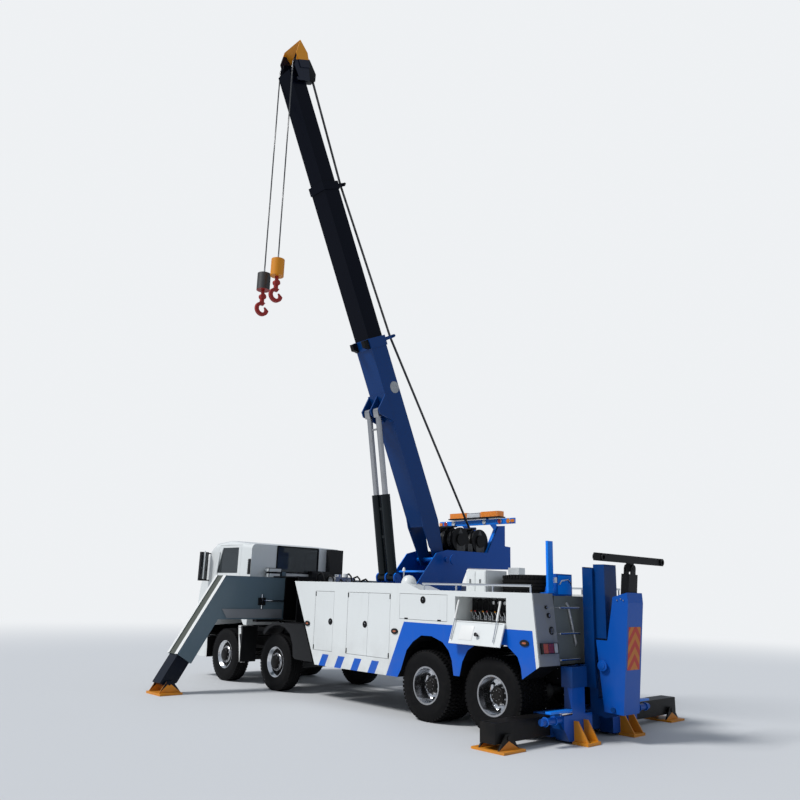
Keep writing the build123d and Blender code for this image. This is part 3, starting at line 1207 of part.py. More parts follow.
def hoist_hook(x, top_z):
    """Adds one rope weight with its shackle, swivel and hook."""
    rod_z(x, ROPE_Y, top_z - 300, top_z, 112)
    rod_z(x, ROPE_Y, top_z - 400, top_z - 290, 30)
    rod_x(x - 40, x + 40, ROPE_Y, top_z - 420, 52)
    with BuildSketch(cross_plane(x - 24)) as outline_sketch:
        with Locations((ROPE_Y, top_z - 640)):
            Circle(125)
            Circle(66, mode=Mode.SUBTRACT)
        with Locations((ROPE_Y - 110, top_z - 560)):
            Rectangle(130, 130, rotation=35, mode=Mode.SUBTRACT)
    extrude(outline_sketch.sketch, amount=48)
    block(x - 24, x + 24, ROPE_Y - 25, ROPE_Y + 35, top_z - 560, top_z - 420)


with BuildPart() as hook_left:
    hoist_hook(TURRET_X + SHEAVE_X, hook_rows[0][2])
hook_left.part.label = "hook_left"
export_step(hook_left.part, "parts/hook_left.step")

with BuildPart() as hook_right:
    hoist_hook(TURRET_X - SHEAVE_X, hook_rows[1][2])
hook_right.part.label = "hook_right"
export_step(hook_right.part, "parts/hook_right.step")

with BuildPart() as rope_left:
    rod_z(TURRET_X + SHEAVE_X, ROPE_Y, hook_rows[0][2], ROPE_TOP_Z, ROPE_R)
rope_left.part.label = "rope_left"
export_step(rope_left.part, "parts/rope_left.step")

with BuildPart() as rope_right:
    rod_z(TURRET_X - SHEAVE_X, ROPE_Y, hook_rows[1][2], ROPE_TOP_Z, ROPE_R)
rope_right.part.label = "rope_right"
export_step(rope_right.part, "parts/rope_right.step")

# Underlift: sliding mast, folded arm, inner arm, cross bar, and the rear spade
with BuildPart() as mast:
    block(-1095, -960 - PAD_GAP, -145, 145, 330, 2380)
    block(-1275, -1090, -165, 165, 1385, 2440)
    for side in (-1, 1):
        y0, y1 = sorted((side * 110, side * 150))
        slab(y0, y1, [(-1095, 330), (-1095, 560), (-1376, 530), (-1450, 490), (-1470, 438), (-1450, 380), (-1376, 345),
                      (-1200, 300)])
    rod_y(FOLD_PIN_X, -240, 240, FOLD_PIN_Z, 34)
mast.part.label = "mast"
export_step(mast.part, "parts/mast.step")

arm_side_outline = [
    (-1427, 1972), (-1662, 2041), (-1672, 1899), (-1533, 381), (-1227, 393), (-1130, 1364), (-1315, 1362),
    (-1414, 1890),
]
with BuildPart() as lift_arm:
    for side in (-1, 1):
        y0, y1 = sorted((side * 190, side * UNDERLIFT_HALF_W))
        slab(y0, y1, arm_side_outline)
    slab(-190, 190, [(-1662, 2041), (-1672, 1899), (-1533, 381), (-1513, 383), (-1652, 1899), (-1635.4, 2036.6)])
    slab(-190, 190, [(-1427, 1972), (-1407, 1890), (-1427, 1888), (-1447, 1966)])
    for side in (-1, 1):
        y0, y1 = sorted((side * 185, side * UNDERLIFT_HALF_W))
        rod_y(FOLD_PIN_X, y0, y1, FOLD_PIN_Z, 34 + RUNNING_GAP, Mode.SUBTRACT)
        y0, y1 = sorted((side * 190, side * 255))
        rod_y(-1246, y0, y1, 1018, 62)
lift_arm.part.label = "lift_arm"
export_step(lift_arm.part, "parts/lift_arm.step")

# The inner arm slides along the folded arm, which leans 5.2 degrees from upright
ARM_LEAN = 5.2
ARM_LEAN_C = math.cos(math.radians(ARM_LEAN))
ARM_LEAN_S = math.sin(math.radians(ARM_LEAN))


def arm_point(along, out):
    """X and Z of a point up the folded arm from the fold pin's height and out from its line."""
    return (-1452 - along * ARM_LEAN_S - out * ARM_LEAN_C, 400 + along * ARM_LEAN_C - out * ARM_LEAN_S)


BAR_PIVOT = 1989.0
BAR_UNDERSIDE = 75.0
SOCKET_Y = 825.0
SOCKET_R = 30.0
SOCKET_L = 150.0


def out_plane(y, along, out):
    """Plane square to the arm's outward direction, at a point on it."""
    x, z = arm_point(along, out)
    return Plane(origin=(x, y, z), x_dir=(0, 1, 0), z_dir=(-ARM_LEAN_C, 0, -ARM_LEAN_S))


with BuildPart() as inner_arm:
    slab(-120, 120, [arm_point(620, -92), arm_point(620, 34), arm_point(BAR_PIVOT - 80, 34),
                     arm_point(BAR_PIVOT - 80, -92)])
    for out in (-92, 14):
        with BuildSketch(out_plane(0, BAR_PIVOT, out)):
            Circle(60)
            with Locations((0, 45)):
                Rectangle(120, 90)
        extrude(amount=20)
    with BuildSketch(out_plane(0, BAR_PIVOT, -96)):
        Circle(25)
    extrude(amount=134)
inner_arm.part.label = "inner_arm"
export_step(inner_arm.part, "parts/inner_arm.step")

# Cross bar on its swivel pin, with a round receiver for a wheel fork at each end
with BuildPart() as cross_bar:
    slab(-50, 50, [arm_point(BAR_PIVOT - 45, -64), arm_point(BAR_PIVOT - 45, 6),
                   arm_point(BAR_PIVOT + BAR_UNDERSIDE + 10, 6), arm_point(BAR_PIVOT + BAR_UNDERSIDE + 10, -64)])
    slab(-884, 884, [arm_point(BAR_PIVOT + BAR_UNDERSIDE, -85), arm_point(BAR_PIVOT + BAR_UNDERSIDE, 25),
                     arm_point(BAR_PIVOT + BAR_UNDERSIDE + 110, 25), arm_point(BAR_PIVOT + BAR_UNDERSIDE + 110, -85)])
    with BuildSketch(out_plane(0, BAR_PIVOT, -70)):
        Circle(25 + RUNNING_GAP)
    extrude(amount=90, mode=Mode.SUBTRACT)
    for side in (-1, 1):
        with BuildSketch(out_plane(side * SOCKET_Y, BAR_PIVOT + BAR_UNDERSIDE + 55, -105)):
            Circle(52)
        extrude(amount=SOCKET_L)
        with BuildSketch(out_plane(side * SOCKET_Y, BAR_PIVOT + BAR_UNDERSIDE + 55, -106)):
            Circle(SOCKET_R)
        extrude(amount=SOCKET_L + 2, mode=Mode.SUBTRACT)
cross_bar.part.label = "cross_bar"
export_step(cross_bar.part, "parts/cross_bar.step")
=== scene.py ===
"""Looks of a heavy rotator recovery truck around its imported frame."""
import json
import logging
import math
from collections.abc import Callable, Sequence
from dataclasses import dataclass, field
from enum import Enum
from itertools import product

import bmesh
import bpy
from mathutils import Matrix, Vector


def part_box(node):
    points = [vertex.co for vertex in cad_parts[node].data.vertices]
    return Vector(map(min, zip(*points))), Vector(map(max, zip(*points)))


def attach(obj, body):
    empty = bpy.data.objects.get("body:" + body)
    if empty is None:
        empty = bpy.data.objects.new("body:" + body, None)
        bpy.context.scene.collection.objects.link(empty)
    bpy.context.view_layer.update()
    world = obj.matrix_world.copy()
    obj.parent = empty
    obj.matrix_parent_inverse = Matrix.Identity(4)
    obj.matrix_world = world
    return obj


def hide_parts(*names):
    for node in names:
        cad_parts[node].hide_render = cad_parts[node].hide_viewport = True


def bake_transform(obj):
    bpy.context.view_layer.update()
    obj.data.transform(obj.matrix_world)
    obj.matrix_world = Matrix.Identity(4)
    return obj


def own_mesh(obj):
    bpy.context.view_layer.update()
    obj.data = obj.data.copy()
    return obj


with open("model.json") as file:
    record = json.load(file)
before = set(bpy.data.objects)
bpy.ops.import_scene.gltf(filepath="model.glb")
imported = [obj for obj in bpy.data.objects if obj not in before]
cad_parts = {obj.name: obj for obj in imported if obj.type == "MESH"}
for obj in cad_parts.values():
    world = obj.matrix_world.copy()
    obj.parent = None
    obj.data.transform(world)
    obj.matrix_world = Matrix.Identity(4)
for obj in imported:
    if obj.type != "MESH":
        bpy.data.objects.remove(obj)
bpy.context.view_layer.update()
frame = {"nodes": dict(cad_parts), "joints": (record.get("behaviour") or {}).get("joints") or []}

LOG = logging.getLogger("tow_truck")
Point = tuple[float, float, float]
Flat = tuple[float, float]
Colour = tuple[float, float, float, float]
SIDES = (("left", 1), ("right", -1))
TO_LEFT = (-math.pi / 2, 0.0, 0.0)
UPRIGHT = (0.0, 0.0, 0.0)
TINY = 0.0001
MERGE = 0.00002
BEVEL_FROM = math.radians(40.0)


class Axis(Enum):
    """Direction that a prism or a turned part runs along."""

    X = (1.0, 0.0, 0.0)
    Y = (0.0, 1.0, 0.0)
    Z = (0.0, 0.0, 1.0)


def rgb(red: float, green: float, blue: float) -> Colour:
    """Returns an opaque colour in linear light."""
    return (red, green, blue, 1.0)


def add_node(tree: bpy.types.NodeTree, kind: str, settings: dict | None = None,
             values: dict | None = None) -> bpy.types.Node:
    """Adds a node to any tree.

    Args:
        tree: The tree.
        kind: The node's type.
        settings: Its settings, set first.
        values: Numbers, colours or sockets for its inputs.

    Returns:
        The new node.
    """
    made = tree.nodes.new(kind)
    for key, value in (settings or {}).items():
        setattr(made, key, value)
    for key, value in (values or {}).items():
        if isinstance(value, bpy.types.NodeSocket):
            tree.links.new(value, made.inputs[key])
        else:
            made.inputs[key].default_value = value
    return made


def maths(operation: str, flipped: bool = False) -> Callable[..., "Field"]:
    """Makes a method that adds one Math node.

    Args:
        operation: Name of the node's operation.
        flipped: Whether the other value comes first.

    Returns:
        The method.
    """
    def method(self: "Field", other: "Field | float" = 0.0) -> "Field":
        """Returns the operation's result on this number and another."""
        values = (other, self) if flipped else (self, other)
        made = self.graph.node("ShaderNodeMath", {"operation": operation}, dict(enumerate(values)))
        return Field(self.graph, made.outputs[0])

    return method


@dataclass(frozen=True)
class Field:
    """A number that varies over a surface, with arithmetic that adds its own nodes."""

    graph: "Graph"
    socket: bpy.types.NodeSocket

    __add__ = __radd__ = maths("ADD")
    __sub__ = maths("SUBTRACT")
    __rsub__ = maths("SUBTRACT", flipped=True)
    __mul__ = __rmul__ = maths("MULTIPLY")
    __abs__ = maths("ABSOLUTE")
    least = maths("MINIMUM")
    most = maths("MAXIMUM")
    above = maths("GREATER_THAN")
    below = maths("LESS_THAN")
    sine = maths("SINE")
    modulo = maths("FLOORED_MODULO")

    def rise(self, start: float, end: float) -> "Field":
        """Steps smoothly between two numbers.

        Args:
            start: Number at which the step is 0.
            end: Number at which the step is 1.

        Returns:
            The step, from 0 to 1.
        """
        sizes = (start, end, 0.0, 1.0) if start < end else (end, start, 1.0, 0.0)
        made = self.graph.node("ShaderNodeMapRange", {"interpolation_type": "SMOOTHSTEP"},
                               dict(enumerate((self, *sizes))))
        return Field(self.graph, made.outputs[0])


class Graph:
    """The nodes of one material or of the surroundings."""

    def __init__(self, owner: bpy.types.Material | bpy.types.World) -> None:
        """Clears the owner's nodes.

        Args:
            owner: The material or surroundings.
        """
        owner.use_nodes = True
        self.tree = owner.node_tree
        self.tree.nodes.clear()

    def node(self, kind: str, settings: dict | None = None, values: dict | None = None) -> bpy.types.Node:
        """Adds a node whose inputs may be fields too.

        Args:
            kind: The node's type.
            settings: Its settings.
            values: Its inputs.

        Returns:
            The new node.
        """
        given = {key: value.socket if isinstance(value, Field) else value
                 for key, value in (values or {}).items()}
        return add_node(self.tree, kind, settings, given)

    def place(self) -> bpy.types.NodeSocket:
        """Returns the place on the piece, in its own coordinates."""
        return self.node("ShaderNodeTexCoord").outputs["Object"]

    def along(self, name: str) -> Field:
        """Returns the place along X, Y or Z."""
        return Field(self, self.node("ShaderNodeSeparateXYZ", values={0: self.place()}).outputs[name])

    def noise(self, scale: float, detail: float = 4.0, stretch: Point = (1.0, 1.0, 1.0)) -> Field:
        """Adds a noise.

        Args:
            scale: Its features per metre.
            detail: Its finer layers.
            stretch: Scale of each axis.

        Returns:
            The noise, from 0 to 1.
        """
        place = self.node("ShaderNodeMapping", values={"Vector": self.place(), "Scale": stretch}).outputs[0]
        made = self.node("ShaderNodeTexNoise",
                         values={"Vector": place, "Scale": scale, "Detail": detail, "Roughness": 0.6})
        return Field(self, made.outputs[0])

    def cells(self, scale: float) -> Field:
        """Returns a random number for each cell of a broken pattern."""
        made = self.node("ShaderNodeTexVoronoi", values={"Vector": self.place(), "Scale": scale})
        return Field(self, self.node("ShaderNodeSeparateColor", values={0: made.outputs["Color"]}).outputs[0])

    def mix(self, factor: Field | float, first: object, second: object) -> bpy.types.NodeSocket:
        """Returns two colours mixed by the share of the second."""
        return self.node("ShaderNodeMix", {"data_type": "RGBA"}, {0: factor, 6: first, 7: second}).outputs[2]

    def bump(self, height: Field, strength: float, depth: float) -> bpy.types.NodeSocket:
        """Returns a surface normal raised by a height field of a depth in metres."""
        sizes = {"Height": height, "Strength": strength, "Distance": depth}
        return self.node("ShaderNodeBump", values=sizes).outputs[0]


class Livery(Enum):
    """Where a painted part changes its colour."""

    PLAIN = "plain"
    SIDE_BODY = "side body"
    ARM = "arm"
    CHEVRON = "chevron"
    GUARD = "guard"


@dataclass(frozen=True)
class Stuff:
    """What a surface is made of."""

    name: str
    colour: Colour

    def inputs(self, graph: Graph) -> dict[str, object]:
        """Works out the shader's inputs.

        Args:
            graph: Material that is being built.

        Returns:
            The inputs by name, with _ for each space.
        """
        raise NotImplementedError

    def make(self) -> bpy.types.Material:
        """Builds the material."""
        made = bpy.data.materials.new(self.name)
        graph = Graph(made)
        values = {key.replace("_", " "): value for key, value in self.inputs(graph).items()}
        shader = graph.node("ShaderNodeBsdfPrincipled", values=values)
        graph.node("ShaderNodeOutputMaterial", values={"Surface": shader.outputs[0]})
        return made


@dataclass(frozen=True)
class Enamel(Stuff):
    """Gloss paint on steel, faintly uneven, dusty towards the road."""

    second: Colour = rgb(0.0, 0.0, 0.0)
    livery: Livery = Livery.PLAIN
    roughness: float = 0.27
    coat: float = 0.5
    dust: float = 0.3
    shine: float = 0.5
    dust_colour: Colour = rgb(0.16, 0.13, 0.10)

    def pattern(self, graph: Graph) -> Field | float:
        """Works out where the second colour lies.

        Args:
            graph: Material that is being built.

        Returns:
            The second colour's share.
        """
        x, y, z = (graph.along(name) for name in "XYZ")
        if self.livery is Livery.SIDE_BODY:
            front, rear = 2.235 - (z - 0.608) * 0.4504, (z - 1.01) * 0.1116 - 0.82
            panel = z.below(1.48) * front.above(x) * x.above(rear)
            lean = x + (z - 0.6) * 0.5
            stripes = (lean - 2.525).modulo(0.4545).below(0.185) * z.below(0.81)
            return abs(y).above(1.2) * panel.most(stripes * lean.above(2.52) * lean.below(4.16))
        if self.livery is Livery.CHEVRON:
            return (z - abs(y + 0.02) * -1.1).modulo(0.2).below(0.1)
        if self.livery is Livery.ARM:
            return (x - 5.538).modulo(0.45).below(0.150)
        if self.livery is Livery.GUARD:
            return (y * 0.42578 + z * 0.90483).below(x.above(2.75) * 0.3 + 11.785)
        return 0.0

    def inputs(self, graph: Graph) -> dict[str, object]:
        """Returns the paint with its second colour, streaks and road dirt."""
        pale = tuple(min(1.0, part * 1.25 + 0.01) for part in self.colour)
        base = graph.mix(graph.noise(0.7, 2.0) * 0.16, self.colour, pale)
        base = graph.mix(self.pattern(graph), base, self.second)
        streaks = graph.noise(9.0, 5.0, (1.0, 1.0, 0.12)).rise(0.55, 0.8)
        low = graph.along("Z").rise(1.5, 0.3) * graph.noise(3.0, 6.0).rise(0.35, 0.75)
        dirt = (low + streaks * 0.25).least(1.0) * self.dust
        return dict(
            Base_Color=graph.mix(dirt, base, self.dust_colour),
            Roughness=(dirt * 0.5 + graph.noise(40.0, 3.0) * 0.08 + self.roughness).least(0.9),
            Coat_Weight=self.coat - dirt * self.coat,
            Coat_Roughness=0.06,
            Specular_IOR_Level=self.shine,
            Normal=graph.bump(graph.noise(160.0, 2.0), 0.06, 0.0015),
        )


class Rubber(Stuff):
    """Black rubber, dull, with dry dust in its grain."""

    def inputs(self, graph: Graph) -> dict[str, object]:
        """Returns dull rubber under patches of dust."""
        dust = graph.noise(14.0, 7.0).rise(0.4, 0.85)
        return dict(
            Base_Color=graph.mix(dust * 0.4, self.colour, rgb(0.020, 0.018, 0.016)),
            Roughness=dust * 0.2 + 0.62,
            Specular_IOR_Level=0.12,
            Normal=graph.bump(graph.noise(420.0, 3.0), 0.25, 0.001),
        )


@dataclass(frozen=True)
class Metal(Stuff):
    """Bare metal, from a mirror polish to a dull casting."""

    roughness: float
    grime: float
    grain: float = 60.0

    def inputs(self, graph: Graph) -> dict[str, object]:
        """Returns bare metal with its grain and grime."""
        grime = graph.noise(11.0, 6.0).rise(0.48, 0.8) * self.grime
        grain = graph.noise(self.grain, 4.0, (1.0, 1.0, 0.3)) * 0.16
        return dict(
            Base_Color=graph.mix(grime, self.colour, rgb(0.05, 0.045, 0.04)),
            Metallic=1.0 - grime * 0.7,
            Roughness=(grain + grime * 0.5 + self.roughness - 0.06).least(0.9),
            Normal=graph.bump(graph.noise(self.grain * 5.0, 2.0), 0.05, 0.001),
        )


class Galvanised(Stuff):
    """Zinc on steel, with its crystal spangle."""

    def inputs(self, graph: Graph) -> dict[str, object]:
        """Returns zinc whose crystals differ in tone."""
        spangle = graph.cells(90.0)
        return dict(
            Base_Color=graph.mix(spangle, self.colour, rgb(0.52, 0.53, 0.54)),
            Metallic=0.85,
            Roughness=spangle * 0.18 + 0.32,
            Normal=graph.bump(graph.noise(200.0, 2.0), 0.08, 0.001),
        )


@dataclass(frozen=True)
class TreadPlate(Stuff):
    """Rolled plate with raised crossing bars."""

    pitch: float = 0.06

    def inputs(self, graph: Graph) -> dict[str, object]:
        """Returns worn plate with bars along both diagonals in turn."""
        x, y = graph.along("X"), graph.along("Y")
        turn = 2 * math.pi / self.pitch
        choice = ((x - y) * (turn / 3)).sine()
        first, second = (((line * turn).sine().rise(0.55, 0.85)) for line in (x + y, x - y))
        wear = graph.noise(18.0, 5.0)
        return dict(
            Base_Color=graph.mix(wear, self.colour, rgb(0.27, 0.27, 0.28)),
            Metallic=0.7,
            Roughness=wear * 0.3 + 0.32,
            Normal=graph.bump((first * choice.above(0.0)).most(second * choice.below(0.0)), 0.6, 0.003),
        )


class Glass(Stuff):
    """Toughened glass, tinted, with a film of dust."""

    def inputs(self, graph: Graph) -> dict[str, object]:
        """Returns tinted glass under a thin film."""
        film = graph.noise(6.0, 6.0).rise(0.45, 0.9)
        return dict(
            Base_Color=graph.mix(film * 0.12, self.colour, rgb(0.35, 0.35, 0.34)),
            Roughness=film * 0.06 + 0.02,
            IOR=1.5,
            Transmission_Weight=0.75,
        )


@dataclass(frozen=True)
class Lens(Stuff):
    """Ribbed lamp lens, glowing faintly of its own colour."""

    glow: float = 0.12
    bands: tuple[tuple[float, Colour], ...] = ()
    ribs: float = 900.0

    def inputs(self, graph: Graph) -> dict[str, object]:
        """Returns a ribbed lens, in bands of colour away from the middle."""
        ribs = (graph.along("Y") * self.ribs).sine() + (graph.along("Z") * self.ribs).sine()
        colour: object = self.colour
        for limit, tint in self.bands:
            colour = graph.mix(abs(graph.along("Y")).above(limit), colour, tint)
        tone = graph.mix(graph.noise(25.0, 3.0) * 0.45, colour, rgb(0.0, 0.0, 0.0))
        return dict(
            Base_Color=tone,
            Roughness=graph.noise(60.0, 2.0) * 0.1 + 0.08,
            Emission_Color=tone,
            Emission_Strength=self.glow,
            Coat_Weight=0.6,
            Normal=graph.bump(ribs, 0.25, 0.002),
        )


class Plastic(Stuff):
    """Moulded plastic with a fine stipple."""

    def inputs(self, graph: Graph) -> dict[str, object]:
        """Returns plastic with pale scuffs."""
        scuff = graph.noise(22.0, 6.0).rise(0.5, 0.8)
        pale = rgb(*(min(1.0, part * 1.6 + 0.008) for part in self.colour[:3]))
        return dict(
            Base_Color=graph.mix(scuff * 0.4, self.colour, pale),
            Roughness=scuff * 0.18 + 0.42,
            Specular_IOR_Level=0.3,
            Normal=graph.bump(graph.noise(600.0, 2.0), 0.2, 0.0006),
        )


@dataclass(frozen=True)
class Cloth(Stuff):
    """Woven seat cloth."""

    threads: float = 1600.0

    def inputs(self, graph: Graph) -> dict[str, object]:
        """Returns cloth with its crossing threads."""
        x, y, z = (graph.along(name) * self.threads for name in "XYZ")
        weave = y.sine() * (z + x).sine()
        return dict(
            Base_Color=graph.mix(weave * 0.3 + 0.5, self.colour, rgb(0.08, 0.085, 0.095)),
            Roughness=graph.noise(30.0, 4.0) * 0.1 + 0.8,
            Sheen_Weight=0.3,
            Normal=graph.bump(weave, 0.4, 0.001),
        )


@dataclass(frozen=True)
class Floor(Stuff):
    """Pale studio floor that fades into the light behind it."""

    haze: Colour = rgb(0.86, 0.88, 0.90)

    def make(self) -> bpy.types.Material:
        """Builds the floor's material, seen plain by the camera far away."""
        made = bpy.data.materials.new(self.name)
        graph = Graph(made)
        across = graph.node("ShaderNodeVectorMath", {"operation": "LENGTH"}, {0: graph.place()})
        far = Field(graph, across.outputs["Value"]).rise(14.0, 34.0)
        seen = Field(graph, graph.node("ShaderNodeLightPath").outputs["Is Camera Ray"])
        ground = graph.node("ShaderNodeBsdfPrincipled", values={
            "Base Color": graph.mix(graph.noise(35.0, 5.0) * 0.12, self.colour, rgb(0.40, 0.41, 0.42)),
            "Roughness": 0.85,
            "Specular IOR Level": 0.2,
        })
        air = graph.node("ShaderNodeEmission", values={"Color": self.haze, "Strength": 1.0})
        both = graph.node("ShaderNodeMixShader",
                          values={0: far * seen, 1: ground.outputs[0], 2: air.outputs[0]})
        graph.node("ShaderNodeOutputMaterial", values={"Surface": both.outputs[0]})
        return made


class Finish(Enum):
    """Every finish on the vehicle."""

    WHITE = Enamel("white_enamel", rgb(0.70, 0.72, 0.71))
    BODY = Enamel("body_enamel", rgb(0.70, 0.72, 0.71), rgb(0.0, 0.098, 0.52), Livery.SIDE_BODY,
                  shine=0.25, coat=0.12)
    # Grey standing for the white rear faces in shade: painted shade. The band on the arms' rear faces uses it
    # too.
    BODY_REAR = Enamel("rear_shade_grey_enamel", rgb(0.19, 0.20, 0.215), shine=0.4, coat=0.3)
    BLUE = Enamel("blue_enamel", rgb(0.0, 0.072, 0.37), roughness=0.28, coat=0.1, dust=0.1, shine=0.2)
    BRIGHT_BLUE = Enamel("bright_blue_enamel", rgb(0.001, 0.19, 0.78), coat=0.15, dust=0.08, shine=0.25)
    DEEP_BLUE = Enamel("deep_blue_enamel", rgb(0.0, 0.036, 0.165), roughness=0.26, coat=0.1, dust=0.06,
                       shine=0.2)
    NAVY = Enamel("navy_enamel", rgb(0.001, 0.002, 0.007), roughness=0.26, coat=0.02, dust=0.01, shine=0.08)
    SLATE = Enamel("slate_enamel", rgb(0.100, 0.148, 0.180), coat=0.15, dust=0.12, shine=0.3)
    OLIVE = Enamel("olive_enamel", rgb(0.055, 0.062, 0.046), rgb(0.74, 0.74, 0.72), Livery.ARM,
                   coat=0.15, dust=0.15)
    INK = Enamel("ink_enamel", rgb(0.003, 0.006, 0.014), roughness=0.26, coat=0.05, dust=0.03, shine=0.14)
    BLACK = Enamel("black_enamel", rgb(0.004, 0.004, 0.0045), roughness=0.42, coat=0.04, dust=0.06,
                   shine=0.15)
    CYLINDER = Enamel("cylinder_enamel", rgb(0.004, 0.007, 0.009), roughness=0.22, coat=0.1, dust=0.02,
                      shine=0.16)
    YELLOW = Enamel("yellow_enamel", rgb(0.66, 0.24, 0.008), roughness=0.38, coat=0.1, dust=0.3, shine=0.3)
    GUARD = Enamel("guard_enamel", rgb(0.70, 0.27, 0.008), rgb(0.003, 0.006, 0.019), Livery.GUARD,
                   0.36, 0.1, 0.1, 0.3)
    RED = Enamel("red_enamel", rgb(0.30, 0.014, 0.010), roughness=0.4, coat=0.15, shine=0.3)
    # Its red and orange are darker than the sheet's own colours, for the shade it sits in: partly painted
    # shade.
    CHEVRON = Enamel("chevron_sheet", rgb(0.42, 0.018, 0.006), rgb(0.48, 0.14, 0.003), Livery.CHEVRON,
                     0.32, 0.1, 0.05, 0.25)
    MARKING = Enamel("marking_sheet", rgb(0.74, 0.74, 0.72), roughness=0.35, dust=0.1)
    SHEET = Enamel("grey_sheet", rgb(0.125, 0.14, 0.135), roughness=0.36, coat=0.1, dust=0.3, shine=0.4)
    RUBBER = Rubber("rubber", rgb(0.0035, 0.0035, 0.004))
    POLISHED = Metal("polished_rim", rgb(0.72, 0.73, 0.75), 0.13, 0.22)
    CHROME = Metal("chrome", rgb(0.78, 0.79, 0.80), 0.09, 0.05)
    STEEL = Metal("machined_steel", rgb(0.46, 0.46, 0.47), 0.26, 0.3)
    IRON = Metal("cast_iron", rgb(0.09, 0.09, 0.09), 0.5, 0.6)
    ROPE = Metal("wire_rope", rgb(0.16, 0.16, 0.16), 0.38, 0.5, 300.0)
    ZINC = Galvanised("galvanised", rgb(0.33, 0.34, 0.35))
    TREAD = TreadPlate("tread_plate", rgb(0.10, 0.10, 0.11))
    GLASS = Glass("tinted_glass", rgb(0.10, 0.12, 0.13))
    CLEAR = Lens("clear_lens", rgb(0.72, 0.75, 0.78), glow=0.05)
    MARKER = Lens("marker_lens", rgb(0.50, 0.13, 0.05), glow=0.04)
    AMBER = Lens("amber_lens", rgb(0.95, 0.27, 0.015))
    SCARLET = Lens("red_lens", rgb(0.40, 0.008, 0.008))
    CLUSTER = Lens("tail_cluster", rgb(0.42, 0.44, 0.46), glow=0.04,
                   bands=((0.92, rgb(0.17, 0.004, 0.004)), (1.06, rgb(0.42, 0.07, 0.01))))
    PLASTIC = Plastic("black_plastic", rgb(0.008, 0.008, 0.009))
    GREY_PLASTIC = Plastic("grey_plastic", rgb(0.12, 0.125, 0.13))
    SEAT = Cloth("seat_cloth", rgb(0.035, 0.038, 0.045))
    FLOOR = Floor("studio_floor", rgb(0.60, 0.61, 0.62))

    def material(self) -> bpy.types.Material:
        """Returns the finish's material, built on first use."""
        return bpy.data.materials.get(self.value.name) or self.value.make()


def square(direction: Vector) -> tuple[Vector, Vector]:
    """Finds two unit directions square to a direction.

    Args:
        direction: The direction.

    Returns:
        The two, square to each other too.
    """
    line = direction.normalized()
    across = line.cross(Vector((0, 0, 1)) if abs(line.z) < 0.9 else Vector((1, 0, 0))).normalized()
    return across, line.cross(across)


def circle(across: Vector, other: Vector, radius: float, sides: int) -> list[Vector]:
    """Returns points round a circle in the plane of two unit directions."""
    turns = [2 * math.pi * index / sides for index in range(sides)]
    return [(across * math.cos(turn) + other * math.sin(turn)) * radius for turn in turns]


